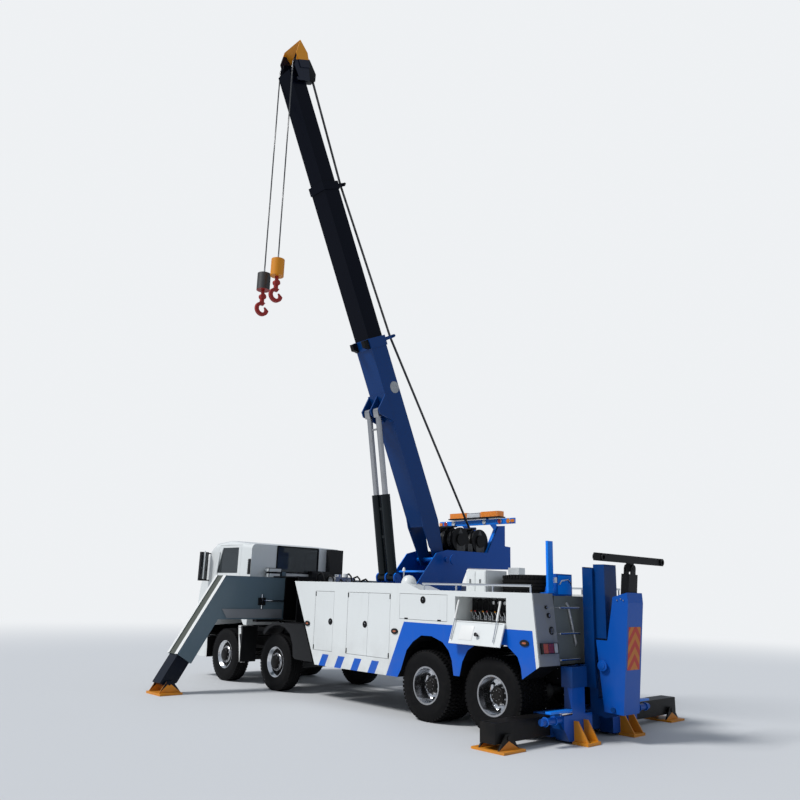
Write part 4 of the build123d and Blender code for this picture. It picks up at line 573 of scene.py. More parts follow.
class Shape:
    """A mesh being built in metres, in the vehicle's own frame."""

    def __init__(self, mesh: bmesh.types.BMesh | None = None, finishes: Sequence[Finish] = ()) -> None:
        """Starts empty, or from a mesh and the finishes of its faces."""
        self.mesh = mesh or bmesh.new()
        self.finishes = list(finishes)

    def paint(self, finish: Finish) -> int:
        """Returns the place of a finish in this shape's list, adding it if new."""
        if finish not in self.finishes:
            self.finishes.append(finish)
        return self.finishes.index(finish)

    def loop(self, rings: Sequence[Sequence[Vector]], finish: Finish, shut: bool = False) -> None:
        """Skins rings of equal length.

        Args:
            rings: Rings of points, in order.
            finish: Finish of the new faces.
            shut: Whether the last ring joins the first; otherwise both get a cap.
        """
        rows = [[self.mesh.verts.new(point) for point in ring] for ring in rings]
        faces = []
        for here, there in zip(rows, rows[1:] + rows[:1] if shut else rows[1:]):
            for index, corner in enumerate(here):
                after = (index + 1) % len(here)
                faces.append(self.mesh.faces.new((corner, here[after], there[after], there[index])))
        if not shut:
            faces += [self.mesh.faces.new(rows[0][::-1]), self.mesh.faces.new(rows[-1])]
        slot = self.paint(finish)
        for face in faces:
            face.material_index = slot
        bmesh.ops.recalc_face_normals(self.mesh, faces=faces)

    def prism(self, axis: Axis, start: float, end: float, outline: Sequence[Flat], finish: Finish) -> None:
        """Adds a prism over an outline.

        Args:
            axis: Direction that it runs along.
            start: Where it starts.
            end: Where it ends.
            outline: Points in the other two axes, in the order X, Y, Z.
            finish: Its finish.
        """
        first = "XYZ".index(axis.name)
        rings = [[Vector((*pair[:first], level, *pair[first:])) for pair in outline]
                 for level in (start, end)]
        self.loop(rings, finish)

    def box(self, corner: Point, opposite: Point, finish: Finish) -> None:
        """Adds a box between any two opposite corners."""
        (x0, x1), (y0, y1), (z0, z1) = (sorted(pair) for pair in zip(corner, opposite))
        self.prism(Axis.Z, z0, z1, [(x0, y0), (x1, y0), (x1, y1), (x0, y1)], finish)

    def rod(self, start: Point, end: Point, radius: float, finish: Finish, sides: int = 20,
            end_radius: float | None = None) -> None:
        """Adds a round rod or cone.

        Args:
            start: Middle of its first end.
            end: Middle of its other end.
            radius: Its radius.
            finish: Its finish.
            sides: Faces around it.
            end_radius: Radius at the other end, where it differs.
        """
        first, last = Vector(start), Vector(end)
        ring = circle(*square(last - first), 1.0, sides)
        sizes = (radius, radius if end_radius is None else end_radius)
        rings = [[middle + point * size for point in ring] for middle, size in zip((first, last), sizes)]
        self.loop(rings, finish)

    def lathe(self, centre: Point, axis: Axis, outline: Sequence[Flat], finish: Finish, steps: int = 48,
              shut: bool = False) -> None:
        """Turns an outline about an axis.

        Args:
            centre: A point on the axis.
            axis: The axis.
            outline: Points along the axis and out from it.
            finish: Its finish.
            steps: Faces around it.
            shut: Whether the outline joins up; otherwise its ends are capped.
        """
        line = Vector(axis.value)
        ring = circle(*square(line), 1.0, steps)
        self.loop([[Vector(centre) + line * along + point * out for point in ring] for along, out in outline],
                  finish, shut)

    def pipe(self, points: Sequence[Point], radius: float, finish: Finish, sides: int = 10) -> None:
        """Adds a bent pipe through points.

        Args:
            points: Its middle line.
            radius: Its radius.
            finish: Its finish.
            sides: Faces around it.
        """
        line = [Vector(point) for point in points]
        across = square(line[1] - line[0])[0]
        rings = []
        for before, point, after in zip(line[:1] + line, line, line[1:] + line[-1:]):
            ahead = (after - before).normalized()
            across = (across - ahead * across.dot(ahead)).normalized()
            rings.append([point + spot for spot in circle(across, ahead.cross(across), radius, sides)])
        self.loop(rings, finish)

    def rope(self, start: Point, end: Point, radius: float, strands: int = 6, pitch: float = 0.18) -> None:
        """Adds a taut laid rope.

        Args:
            start: Its first end.
            end: Its other end.
            radius: Its radius over the strands.
            strands: Its strands, and the steps in one turn of a strand.
            pitch: Length of one turn of a strand.
        """
        first, last = Vector(start), Vector(end)
        turns = (last - first).length / pitch
        across, other = square(last - first)
        steps = max(2, round(turns * strands))
        for lay in range(strands):
            points = []
            for share in (step / steps for step in range(steps + 1)):
                angle = 2 * math.pi * (share * turns + lay / strands)
                offset = (across * math.cos(angle) + other * math.sin(angle)) * radius * 2 / 3
                points.append(first.lerp(last, share) + offset)
            self.pipe(points, radius / 3, Finish.ROPE, 5)

    def absorb(self, other: bpy.types.Object) -> None:
        """Takes in a mesh object and removes it.

        Args:
            other: The object, with its finishes noted on it.
        """
        slots = [self.paint(Finish[name]) for name in other["finishes"]]
        before = len(self.mesh.faces)
        data = other.data
        self.mesh.from_mesh(data)
        self.mesh.faces.ensure_lookup_table()
        for face in self.mesh.faces[before:]:
            face.material_index = slots[min(face.material_index, len(slots) - 1)]
        bpy.data.objects.remove(other)
        bpy.data.meshes.remove(data)

    def around(self, item: "Shape", count: int, radius: float, centre: Point, turn: Point = UPRIGHT,
               phase: float = 0.0) -> None:
        """Adds copies of an item round a circle about its own Z, turned and moved to a centre."""
        sizes = {"Count": count, "Radius": radius, "Phase": phase, "Centre": centre, "Turn": turn}
        self.absorb(lay(item, Layout.ROUND, **sizes))

    def along(self, item: "Shape", count: int, start: Point, step: Point, turn: Point = UPRIGHT) -> None:
        """Adds copies of an item in a row, each turned the same way."""
        self.absorb(lay(item, Layout.ROW, Count=count, Start=start, Step=step, Turn=turn))

    def build(self, name: str, bevel: float = 0.0, crease: float = 32.0) -> bpy.types.Object:
        """Makes the object.

        Args:
            name: The piece's name.
            bevel: Width of a rounding on its sharp edges, or 0.
            crease: Angle in degrees past which an edge stays sharp.

        Returns:
            The object, at the origin with its place in its mesh.
        """
        if bevel:
            edges = [edge for edge in self.mesh.edges
                     if len(edge.link_faces) == 2 and edge.calc_face_angle(0.0) > BEVEL_FROM]
            bmesh.ops.bevel(self.mesh, geom=edges, offset=bevel, segments=2, profile=0.6, affect="EDGES",
                            clamp_overlap=True)
        data = bpy.data.meshes.new(name)
        self.mesh.to_mesh(data)
        self.mesh.free()
        for finish in self.finishes:
            data.materials.append(finish.material())
        data.polygons.foreach_set("use_smooth", [True] * len(data.polygons))
        data.set_sharp_from_angle(angle=math.radians(crease))
        return put(name, data, self.finishes)

    def ride(self, name: str, body: str, slot: str, bevel: float = 0.0) -> bpy.types.Object:
        """Builds the piece and puts it on its body."""
        return ride(self.build(name, bevel), body)


def put(name: str, data: bpy.types.Mesh, finishes: Sequence[Finish] = ()) -> bpy.types.Object:
    """Links a new object.

    Args:
        name: Its name.
        data: Its mesh.
        finishes: Finishes of the mesh's slots, noted on the object.

    Returns:
        The object.
    """
    made = bpy.data.objects.new(name, data)
    made["finishes"] = [finish.name for finish in finishes]
    bpy.context.scene.collection.objects.link(made)
    return made


class Layout(Enum):
    """How a Geometry Nodes tree sets out its copies, with the tree's inputs."""

    ROUND = {"Count": "Int", "Radius": "Float", "Phase": "Float", "Centre": "Vector", "Turn": "Vector",
             "Finish": "Material"}
    ROW = {"Count": "Int", "Start": "Vector", "Step": "Vector", "Turn": "Vector", "Finish": "Material"}

    def tree(self) -> bpy.types.NodeTree:
        """Finds or builds the layout's tree, with named inputs for its sizes."""
        found = bpy.data.node_groups.get(self.name)
        if found:
            return found
        tree = bpy.data.node_groups.new(self.name, "GeometryNodeTree")
        tree.interface.new_socket("Geometry", in_out="INPUT", socket_type="NodeSocketGeometry")
        tree.interface.new_socket("Geometry", in_out="OUTPUT", socket_type="NodeSocketGeometry")
        for name, kind in self.value.items():
            tree.interface.new_socket(name, in_out="INPUT", socket_type=f"NodeSocket{kind}")

        def add(kind: str, settings: dict | None = None, **values: object) -> bpy.types.NodeSocket:
            """Adds a node and returns its first output; _ stands for a space, and a, b for places 0, 1."""
            places = {"a": 0, "b": 1}
            given = {places.get(key, key.replace("_", " ")): value for key, value in values.items()}
            return add_node(tree, kind, settings, given).outputs[0]

        given = tree.nodes.new("NodeGroupInput").outputs
        if self is Layout.ROUND:
            points = add("GeometryNodeMeshCircle", Vertices=given["Count"], Radius=given["Radius"])
            share = add("ShaderNodeMath", {"operation": "DIVIDE"}, a=2 * math.pi, b=given["Count"])
            angle = add("ShaderNodeMath", {"operation": "MULTIPLY"}, a=add("GeometryNodeInputIndex"), b=share)
            turn = add("ShaderNodeCombineXYZ", Z=angle)
        else:
            points = add("GeometryNodeMeshLine", Count=given["Count"], Start_Location=given["Start"],
                         Offset=given["Step"])
            turn = given["Turn"]
        result = add("GeometryNodeInstanceOnPoints", Points=points, Instance=given["Geometry"], Rotation=turn)
        if self is Layout.ROUND:
            phase = add("ShaderNodeCombineXYZ", Z=given["Phase"])
            spun = add("GeometryNodeTransform", Geometry=result, Rotation=phase)
            result = add("GeometryNodeTransform", Geometry=spun, Rotation=given["Turn"],
                         Translation=given["Centre"])
        joined = add("GeometryNodeRealizeInstances", Geometry=result)
        dressed = add("GeometryNodeSetMaterial", Geometry=joined, Material=given["Finish"])
        tree.links.new(dressed, tree.nodes.new("NodeGroupOutput").inputs[0])
        return tree


def lay(item: Shape, layout: Layout, **sizes: object) -> bpy.types.Object:
    """Sets out copies of an item.

    Args:
        item: The small shape, about its own origin, with one finish.
        layout: How they are set out.
        sizes: The layout's named inputs.

    Returns:
        One plain mesh object with every copy in it.
    """
    finishes = item.finishes[:1]
    source = item.build("item")
    modifier = source.modifiers.new("layout", "NODES")
    modifier.node_group = layout.tree()
    sockets = {entry.name: entry.identifier for entry in modifier.node_group.interface.items_tree
               if entry.item_type == "SOCKET" and entry.in_out == "INPUT"}
    for name, value in {**sizes, "Finish": finishes[0].material()}.items():
        modifier[sockets[name]] = value
    data = bpy.data.meshes.new_from_object(source.evaluated_get(bpy.context.evaluated_depsgraph_get()))
    old = source.data
    bpy.data.objects.remove(source)
    bpy.data.meshes.remove(old)
    return put("copies", data, finishes)


def nut(width: float, height: float) -> Shape:
    """Builds a hexagon nut with its bolt end, standing on its origin along Z.

    Args:
        width: Its nominal width.
        height: Its height, without the bolt end.

    Returns:
        The nut.
    """
    shape = Shape()
    shape.rod((0, 0, 0), (0, 0, height * 0.25), width * 0.66, Finish.STEEL, 12)
    shape.rod((0, 0, height * 0.25), (0, 0, height), width * 0.56, Finish.STEEL, 6)
    shape.rod((0, 0, height), (0, 0, height * 1.3), width * 0.28, Finish.STEEL, 8)
    return shape


def ride(piece: bpy.types.Object, body: str) -> bpy.types.Object:
    """Puts a finished piece on its body.

    Args:
        piece: The piece.
        body: The body that carries it.

    Returns:
        The piece.
    """
    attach(piece, body)
    LOG.info("%s rides on %s with %d faces", piece.name, body, len(piece.data.polygons))
    return piece


Chooser = Callable[[Vector, Vector], Finish]


def dress(node: str, choose: Chooser | Finish) -> None:
    """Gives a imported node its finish.

    Args:
        node: The node's name.
        choose: Its finish, or what picks one from a face's middle and facing.
    """
    data = frame["nodes"][node].data
    data.materials.clear()
    used: list[Finish] = []
    for face in data.polygons:
        finish = choose if isinstance(choose, Finish) else choose(face.center, face.normal)
        if finish not in used:
            used.append(finish)
            data.materials.append(finish.material())
        face.material_index = used.index(finish)


@dataclass(frozen=True)
class Slope:
    """A leaning line in an upright plane."""

    foot: Flat
    lean: Flat

    def at(self, along: float, out: float = 0.0) -> Flat:
        """Finds a place beside the line.

        Args:
            along: Distance along the line.
            out: Distance out to its side.

        Returns:
            The place.
        """
        length = math.hypot(*self.lean)
        ahead, rise = (part / length for part in self.lean)
        return (self.foot[0] + along * ahead - out * rise, self.foot[1] + along * rise + out * ahead)


SIDEWALL = ((0.030, 0.286), (0.008, 0.286), (0.004, 0.300), (0.0055, 0.326), (0.002, 0.352), (0.0, 0.385),
            (0.0, 0.425), (0.003, 0.452), (0.0045, 0.455), (0.0045, 0.461), (0.006, 0.464), (0.010, 0.492),
            (0.017, 0.507))


@dataclass
class Wheels:
    """Four steered single wheels and four driven twin wheels."""

    axles: tuple[float, ...] = (7.461, 5.557, 1.349, 0.0)
    radius: float = 0.535
    front_y: float = 1.035
    twin_y: float = 0.900
    twin_half_gap: float = 0.170
    lugs: int = 54
    nuts: int = 10
    nut_ring: float = 0.144
    front_half: float = 0.155
    twin_half: float = 0.145
    tyre_bore: float = 0.3085
    hub_radius: float = 0.1272
    twin_hub_radius: float = 0.1512
    twin_hub_face: float = 0.0185
    disc_radius: float = 0.168
    rim_foot: float = 0.257
    twin_rim_foot: float = 0.268
    inside: float = -0.06
    twin_inside: float = -0.02

    def tyre(self, half: float, centre: float, blocky: bool) -> Shape:
        """Builds one tyre about the Y axis.

        Args:
            half: Half its width.
            centre: Middle of it along Y.
            blocky: Whether it has a driven wheel's deep blocks.

        Returns:
            The tyre.
        """
        top = self.radius
        floor = top - (0.017 if blocky else 0.010)
        side = [(half - inward, out) for inward, out in SIDEWALL]
        if blocky:
            crown = [(half - 0.034, floor - 0.002), (0.012, floor), (0.010, top - 0.004),
                     (-0.010, top - 0.004), (-0.012, floor), (0.034 - half, floor - 0.002)]
        else:
            crown = [(half - 0.030, floor - 0.006), (half - 0.046, floor)]
            for middle in (0.052, 0.0, -0.052):
                crown += [(middle + 0.021, floor), (middle + 0.019, top), (middle - 0.019, top),
                          (middle - 0.021, floor)]
            crown += [(-half + 0.046, floor), (-half + 0.030, floor - 0.006)]
        outline = side + crown + [(-across, out) for across, out in reversed(side)]
        shape = Shape()
        shape.lathe((0, centre, 0), Axis.Y, outline, Finish.RUBBER, 96, shut=True)
        blocks = [(half - 0.062, half - 0.016, floor - 0.022, top - 0.001, 0.024 if blocky else 0.023, 0.0)]
        if blocky:
            blocks.append((0.024, half - 0.072, floor - 0.003, top, 0.020, math.pi / self.lugs))
        for sign, (inner, outer, foot, head, reach, phase) in product((-1, 1), blocks):
            block = Shape()
            section = [(foot, -reach), (head, 0.003 - reach), (head, reach - 0.003), (foot, reach)]
            block.prism(Axis.Z, sign * inner, sign * outer, section, Finish.RUBBER)
            shape.around(block, self.lugs, TINY, (0.0, centre, 0.0), TO_LEFT, phase)
        return shape

    def hub(self, twin: bool) -> Shape:
        """Builds the nuts of one wheel, and a twin's hub cap.

        Args:
            twin: Whether it is a twin wheel.

        Returns:
            The fittings.
        """
        shape = Shape()
        ring = self.nut_ring - (0.002 if twin else 0.0)
        shape.around(nut(0.021, 0.026), self.nuts, ring, (0.0, 0.150 if twin else 0.118, 0.0), TO_LEFT, 0.31)
        if twin:
            cap = [(0.0, 0.0), (0.0, 0.088), (0.004, 0.086), (0.004, 0.060), (0.010, 0.056), (0.010, 0.0)]
            shape.lathe((0, 0.204, 0), Axis.Y, cap, Finish.BLACK, 40)
            shape.around(nut(0.008, 0.006), 8, 0.073, (0.0, 0.208, 0.0), TO_LEFT)
        return shape

    def rim(self, node: str) -> bpy.types.Object:
        """Copies the turned rim, disc and hub out of a packed wheel.

        Args:
            node: The wheel's node.

        Returns:
            The rim with its faces merged and its finishes set by radius and depth, with black as painted
            shade on its recessed disc and inner faces.
        """
        centre = sum(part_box(node), Vector()) / 2
        side = 1 if centre.y > 0 else -1
        mesh = bmesh.new()
        mesh.from_mesh(frame["nodes"][node].data)
        bmesh.ops.remove_doubles(mesh, verts=mesh.verts, dist=MERGE)

        def reach(point: Vector) -> float:
            """Returns a point's distance from the wheel's axis."""
            return math.hypot(point.x - centre.x, point.z - centre.z)

        tyre = [face for face in mesh.faces
                if max(reach(vertex.co) for vertex in face.verts) > self.tyre_bore]
        bmesh.ops.delete(mesh, geom=tyre, context="FACES")
        shape = Shape(mesh, (Finish.POLISHED, Finish.BLACK, Finish.STEEL))
        twin = abs(centre.y) < 1.0
        middle = side * (self.twin_y if twin else self.front_y)
        for face in mesh.faces:
            point = face.calc_center_median()
            out, along = reach(point), side * (point.y - middle)
            # Faces deep inside the wheel, and on front wheels the whole recessed disc ring between nut ring
            # and rim foot, are black as painted shade.
            deep = along < (self.twin_inside if twin else self.inside)
            cap = twin and out < self.twin_hub_radius and along > self.twin_hub_face
            shaded_disc = not twin and self.disc_radius < out < self.rim_foot
            if deep or cap or shaded_disc or out < self.hub_radius:
                face.material_index = 1
            else:
                bare = out < self.disc_radius or (twin and out > self.twin_rim_foot)
                face.material_index = 2 if bare else 0
        return shape.build("rim_" + node, crease=28.0)

    def build(self) -> None:
        """Builds every wheel from one front tyre and one twin pair."""
        twins = self.tyre(self.twin_half, -self.twin_half_gap, True)
        twins.absorb(self.tyre(self.twin_half, self.twin_half_gap, True).build("outer_tyre"))
        pattern = {
            False: self.tyre(self.front_half, 0.0, False).build("front_tyre", crease=38.0),
            True: twins.build("twin_tyres", crease=38.0),
        }
        fittings = {twin: self.hub(twin).build("fittings") for twin in (False, True)}
        for (axle, x), (name, side) in product(enumerate(self.axles, 1), SIDES):
            twin = axle > 2
            place = Matrix.Translation((x, side * (self.twin_y if twin else self.front_y), self.radius))
            if side < 0:
                place = place @ Matrix.Rotation(math.pi, 4, "Z")
            node = f"wheel_{axle}_{name}"
            tyre = self.copy(pattern[twin], f"tyre_{axle}_{name}", place)
            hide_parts(node)
            ride(tyre, node)
            ride(self.rim(node), node)
            ride(self.copy(fittings[twin], f"wheel_nuts_{axle}_{name}", place), node)
        self.spare(pattern[False])
        for source in (*pattern.values(), *fittings.values()):
            bpy.data.objects.remove(source)

    def spare(self, pattern: bpy.types.Object) -> None:
        """Lays the spare tyre and its rim on the rear shelf.

        Args:
            pattern: A front tyre about its own middle.
        """
        low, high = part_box("spare_wheel")
        centre = (low + high) / 2
        half = (high.z - low.z) / 2
        scale = Matrix.Diagonal((1, half / self.front_half, 1, 1))
        place = Matrix.Translation(centre) @ Matrix.Rotation(math.pi / 2, 4, "X") @ scale
        tyre = self.copy(pattern, "spare_tyre", place)
        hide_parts("spare_wheel")
        ride(tyre, "truck")
        shape = Shape()
        shape.lathe(centre, Axis.Z, [
            (-half + 0.012, 0.262), (-half + 0.012, 0.305), (-half + 0.030, 0.285), (half - 0.034, 0.285),
            (half - 0.026, 0.305), (half - 0.012, 0.305), (half - 0.012, 0.262), (0.02, 0.255), (-0.02, 0.18),
            (-0.03, 0.12), (-0.045, 0.12), (-0.035, 0.18), (-0.01, 0.262),
        ], Finish.POLISHED, 64, shut=True)
        shape.around(nut(0.024, 0.03), self.nuts, self.nut_ring, (centre.x, centre.y, centre.z - 0.027))
        shape.ride("spare_rim", "truck", "chrome")

    @staticmethod
    def copy(source: bpy.types.Object, name: str, place: Matrix) -> bpy.types.Object:
        """Copies a finished mesh to a place.

        Args:
            source: The object that is copied.
            name: The copy's name.
            place: Its place, moved into its vertices.

        Returns:
            The copy.
        """
        data = source.data.copy()
        data.transform(place)
        return put(name, data)


@dataclass
class Cab:
    """The cab's finishes, seals, vents, lamps, handles, mirrors and wipers."""

    rear_x: float = 6.640
    half_width: float = 1.220
    lining_y: float = 1.197

    def build(self) -> None:
        """Dresses the cab and adds its fittings."""
        dress("cab_shell", lambda at, facing: Finish.BLACK if at.z < 1.19 else Finish.WHITE)
        for name, _ in SIDES:
            dress(f"cab_door_{name}", self.door)
        for node in ("cab_glass", "door_glass_left", "door_glass_right"):
            dress(node, Finish.GLASS)
        dress("cab_interior", lambda at, facing: Finish.SEAT if at.x < 7.6 else Finish.GREY_PLASTIC)
        dress("cab_trim", self.trim)
        self.rear()
        self.front()
        self.doors()

    def door(self, at: Vector, facing: Vector) -> Finish:
        """Picks the finish of a door: white outside, plastic on its lining."""
        outside = abs(at.y) > self.lining_y or abs(facing.y) < 0.3
        return Finish.WHITE if outside else Finish.GREY_PLASTIC

    @staticmethod
    def trim(at: Vector, facing: Vector) -> Finish:
        """Picks the finish of the bumper, grille, steps and mirrors."""
        if abs(at.y) > 1.245:
            return Finish.PLASTIC
        return Finish.WHITE if at.z < 0.862 and at.x > 8.1 and facing.x > -0.5 else Finish.BLACK

    def rear(self) -> None:
        """Adds the rear window's seal, the side vents, the intake and two hoses behind the cab."""
        shape = Shape()
        x = self.rear_x
        for sign in (-1, 1):
            side = sign * (self.half_width - 0.02)
            shape.box((x + 0.01, side, 2.22), (x + 0.11, side + sign * 0.028, 2.54), Finish.PLASTIC)
            for step in range(7):
                z = 2.235 + step * 0.043
                shape.box((x + 0.005, side, z), (x + 0.115, side + sign * 0.036, z + 0.012), Finish.BLACK)
            shape.box((x - 0.010, sign * 0.548, 2.29), (x + 0.003, sign * 0.578, 2.84), Finish.RUBBER)
        for z in (2.830, 2.272):
            shape.box((x - 0.010, -0.565, z), (x + 0.003, 0.565, z + 0.028), Finish.RUBBER)
        shape.box((x - 0.16, -0.80, 1.30), (x - 0.012, -0.31, 2.34), Finish.PLASTIC)
        for step in range(10):
            z = 1.95 + step * 0.035
            shape.box((x - 0.168, -0.77, z), (x - 0.158, -0.34, z + 0.014), Finish.BLACK)
        for y, out, top, radius in ((0.30, 0.10, 1.34, 0.022), (0.42, 0.11, 1.36, 0.016)):
            shape.pipe([(x - 0.02, y, 1.30), (x - out, y + 0.02, top), (x - out - 0.03, y + 0.04, 1.22),
                        (x - out - 0.03, y + 0.05, 1.05)], radius, Finish.RUBBER)
        shape.ride("cab_rear_fittings", "truck", "trim", 0.003)

    @staticmethod
    def front() -> None:
        """Adds the front lamps' lenses and rims and the wipers."""
        shape = Shape()
        rim = [(0.0, 0.0), (0.0, 0.058), (0.012, 0.064), (0.016, 0.058), (0.006, 0.0)]
        for sign in (-1, 1):
            shape.box((8.842, sign * 0.868, 0.566), (8.852, sign * 1.152, 0.714), Finish.CLEAR)
            shape.lathe((8.838, sign * 1.01, 0.64), Axis.X, rim, Finish.CHROME, 32)
        for y in (-0.62, 0.02, 0.66):
            wiper = [(8.70, y, 1.50), (8.752, y + 0.02, 1.56), (8.755, y - 0.46, 1.72)]
            shape.pipe(wiper, 0.009, Finish.PLASTIC, 8)
        shape.ride("cab_front_fittings", "truck", "lens", 0.002)

    def doors(self) -> None:
        """Adds the door handles, belt seals, grab rails and the mirrors' glass."""
        mirrors = Shape()
        for name, sign in SIDES:
            shape = Shape()
            y = sign * self.half_width
            for x0, x1, z0, z1, out, finish in (
                    (7.30, 7.46, 1.70, 1.745, 0.022, Finish.PLASTIC),
                    (7.27, 7.49, 1.685, 1.76, 0.006, Finish.BLACK),
                    (7.14, 8.16, 1.948, 1.968, 0.004, Finish.RUBBER)):
                shape.box((x0, y, z0), (x1, y + sign * out, z1), finish)
            rail = y + sign * 0.014
            shape.rod((8.01, rail, 2.215), (7.93, rail, 2.70), 0.011, Finish.WHITE, 12)
            shape.ride(f"cab_door_fittings_{name}", f"cab_door_{name}", "trim", 0.004)
            for z0, z1 in ((2.32, 2.67), (2.09, 2.29)):
                mirrors.box((8.324, sign * 1.31, z0), (8.331, sign * 1.46, z1), Finish.GLASS)
            mirrors.rod((8.31, sign * 1.40, 2.10), (8.31, sign * 1.40, 2.72), 0.016, Finish.WHITE, 12)
        mirrors.ride("mirror_glass", "truck", "chrome", 0.001)


@dataclass
class Bodywork:
    """White side bodies with lockers, control hatch, deck and rear panels."""

    side_y: float = 1.250
    latches: dict[str, tuple[int, float, float]] = field(default_factory=lambda: {
        "locker_1_left": (1, 3.783, 1.388), "locker_2_left": (1, 2.818, 1.388),
        "locker_4_left": (1, 1.407, 1.839), "locker_1_right": (-1, 3.783, 1.388),
        "locker_2_right": (-1, 2.258, 1.388),
    })
    markers: tuple[Flat, ...] = ((4.472, 1.322), (2.053, 1.317), (-0.630, 1.306))
    hatch: Slope = Slope((1.252, 1.552), (math.sin(math.radians(160.0)), math.cos(math.radians(160.0))))
    hatch_face: float = 0.027
    rear_face: Slope = Slope((-0.880, 1.010), (0.110, 0.986))

    def build(self) -> None:
        """Dresses the bodies and adds their fittings."""
        dress("bodies", self.paint)
        for node in (*self.latches, "locker_3_left"):
            dress(node, self.locker)
        dress("hatch_left", Finish.WHITE)
        dress("deck", self.deck_paint)
        dress("rails", Finish.CHROME)
        dress("lamps", self.lens)
        self.latch()
        self.hatch_fittings()
        self.levers()
        self.rear()
        self.posts()
        self.deck_fittings()
        self.pipes()
        self.marker_frames()

    @staticmethod
    def paint(at: Vector, facing: Vector) -> Finish:
        """Picks the finish of the side bodies."""
        # Rear-facing faces at the bodies' rear end get grey as painted shade on the white paint.
        if facing.x < -0.9 and at.x < -0.7:
            return Finish.BODY_REAR
        if abs(at.y) > 1.2 and abs(facing.y) > 0.9:
            return Finish.BODY
        under = abs(at.y) > 0.76 and (facing.z < -0.2 or facing.x < -0.2) and at.z < 1.3
        return Finish.BLACK if under else Finish.WHITE

    @staticmethod
    def locker(at: Vector, facing: Vector) -> Finish:
        """Picks the finish of a locker's door: black on its latch's ring and inside."""
        return Finish.BLACK if abs(at.y) > 1.2503 or abs(at.y) < 1.2 else Finish.WHITE

    @staticmethod
    def deck_paint(at: Vector, facing: Vector) -> Finish:
        """Picks the finish of the deck, its box and its rear panel."""
        if at.z > 1.99 and 0.48 < at.x < 0.91 and at.y > 0.2:
            return Finish.WHITE
        if facing.x < -0.5 and at.x < -0.7:
            return Finish.SHEET
        return Finish.TREAD if facing.z > 0.7 else Finish.BLACK

    @staticmethod
    def lens(at: Vector, facing: Vector) -> Finish:
        """Picks the colour of each lamp."""
        if at.x > 8.0:
            return Finish.CLEAR
        return Finish.AMBER if at.x > -0.7 else Finish.CLUSTER

    def latch(self) -> None:
        """Adds a folding paddle and its black dish inside each door's ring."""
        for node, (sign, x, z) in self.latches.items():
            shape = Shape()
            y = sign * (self.side_y + 0.001)
            shape.rod((x, y, z), (x, y + sign * 0.004, z), 0.058, Finish.PLASTIC, 32)
            shape.box((x - 0.018, y + sign * 0.003, z - 0.034), (x + 0.020, y + sign * 0.010, z + 0.036),
                      Finish.PLASTIC)
            x, z = x - 0.006, z + 0.014
            shape.rod((x, y, z), (x, y + sign * 0.013, z), 0.010, Finish.CHROME, 14)
            shape.ride(f"latch_{node}", node, "trim", 0.002)

    def hatch_fittings(self) -> None:
        """Adds the sheet, ribs, knob and gas struts of the open control hatch."""
        shape = Shape()
        face = self.hatch_face

        def place(x: float, up: float, out: float) -> Vector:
            """Returns a place up the hanging hatch and out from its inner face."""
            return Vector((x, *self.hatch.at(up, face + out)))

        for x0, x1, up0, up1, out, finish in (
                (0.26, 0.52, 0.07, 0.29, 0.0015, Finish.MARKING),
                (-0.26, 0.0, 0.012, 0.020, 0.006, Finish.WHITE),
                (0.01, 0.67, 0.012, 0.020, 0.006, Finish.WHITE)):
            corners = ((x0, up0), (x1, up0), (x1, up1), (x0, up1))
            shape.loop([[place(*corner, level) for corner in corners] for level in (-0.001, out)], finish)
        for out0, out1, radius in ((-0.004, 0.035, 0.017), (0.035, 0.055, 0.03)):
            shape.rod(place(0.16, 0.21, out0), place(0.16, 0.21, out1), radius, Finish.PLASTIC)
        shape.ride("hatch_fittings", "hatch_left", "white", 0.001)
        struts = Shape()
        for x in (-0.17, 0.655):
            foot, head = place(x, 0.30, 0.018), Vector((x, 1.215, 1.86))
            middle = foot.lerp(head, 0.52)
            struts.rod(foot, middle, 0.009, Finish.CHROME, 12)
            struts.rod(middle, head, 0.016, Finish.MARKING, 14)
        struts.ride("hatch_struts", "hatch_left", "chrome")

    @staticmethod
    def levers() -> None:
        """Adds the valve bank with its row of levers and gauges behind the hatch."""
        shape = Shape()
        shape.box((-0.24, 0.862, 1.575), (0.64, 0.905, 1.70), Finish.IRON)
        caps = (Finish.SCARLET, Finish.YELLOW, Finish.PLASTIC)
        ball = [(-0.014, 0.0), (-0.012, 0.010), (0.0, 0.0155), (0.012, 0.010), (0.015, 0.0)]
        gauge = [(0.0, 0.0), (0.0, 0.032), (0.018, 0.032), (0.018, 0.028), (0.012, 0.026), (0.012, 0.0)]
        for index in range(11):
            x = -0.2 + index * 0.08
            shape.box((x - 0.03, 0.86, 1.57), (x + 0.03, 0.93, 1.64), Finish.STEEL)
            shape.rod((x, 0.93, 1.61), (x, 0.985, 1.695), 0.0055, Finish.CHROME, 10)
            shape.lathe((x, 0.99, 1.70), Axis.Z, ball, caps[index % 3], 14)
            shape.rod((x, 0.93, 1.60), (x, 0.955, 1.60), 0.012, Finish.STEEL, 12)
        for x in (0.02, 0.13, 0.24):
            shape.lathe((x, 0.862, 1.835), Axis.Y, gauge, Finish.CHROME, 24)
            shape.rod((x, 0.872, 1.835), (x, 0.8755, 1.835), 0.026, Finish.MARKING)
        shape.ride("valve_bank", "truck", "deck_steel", 0.0015)

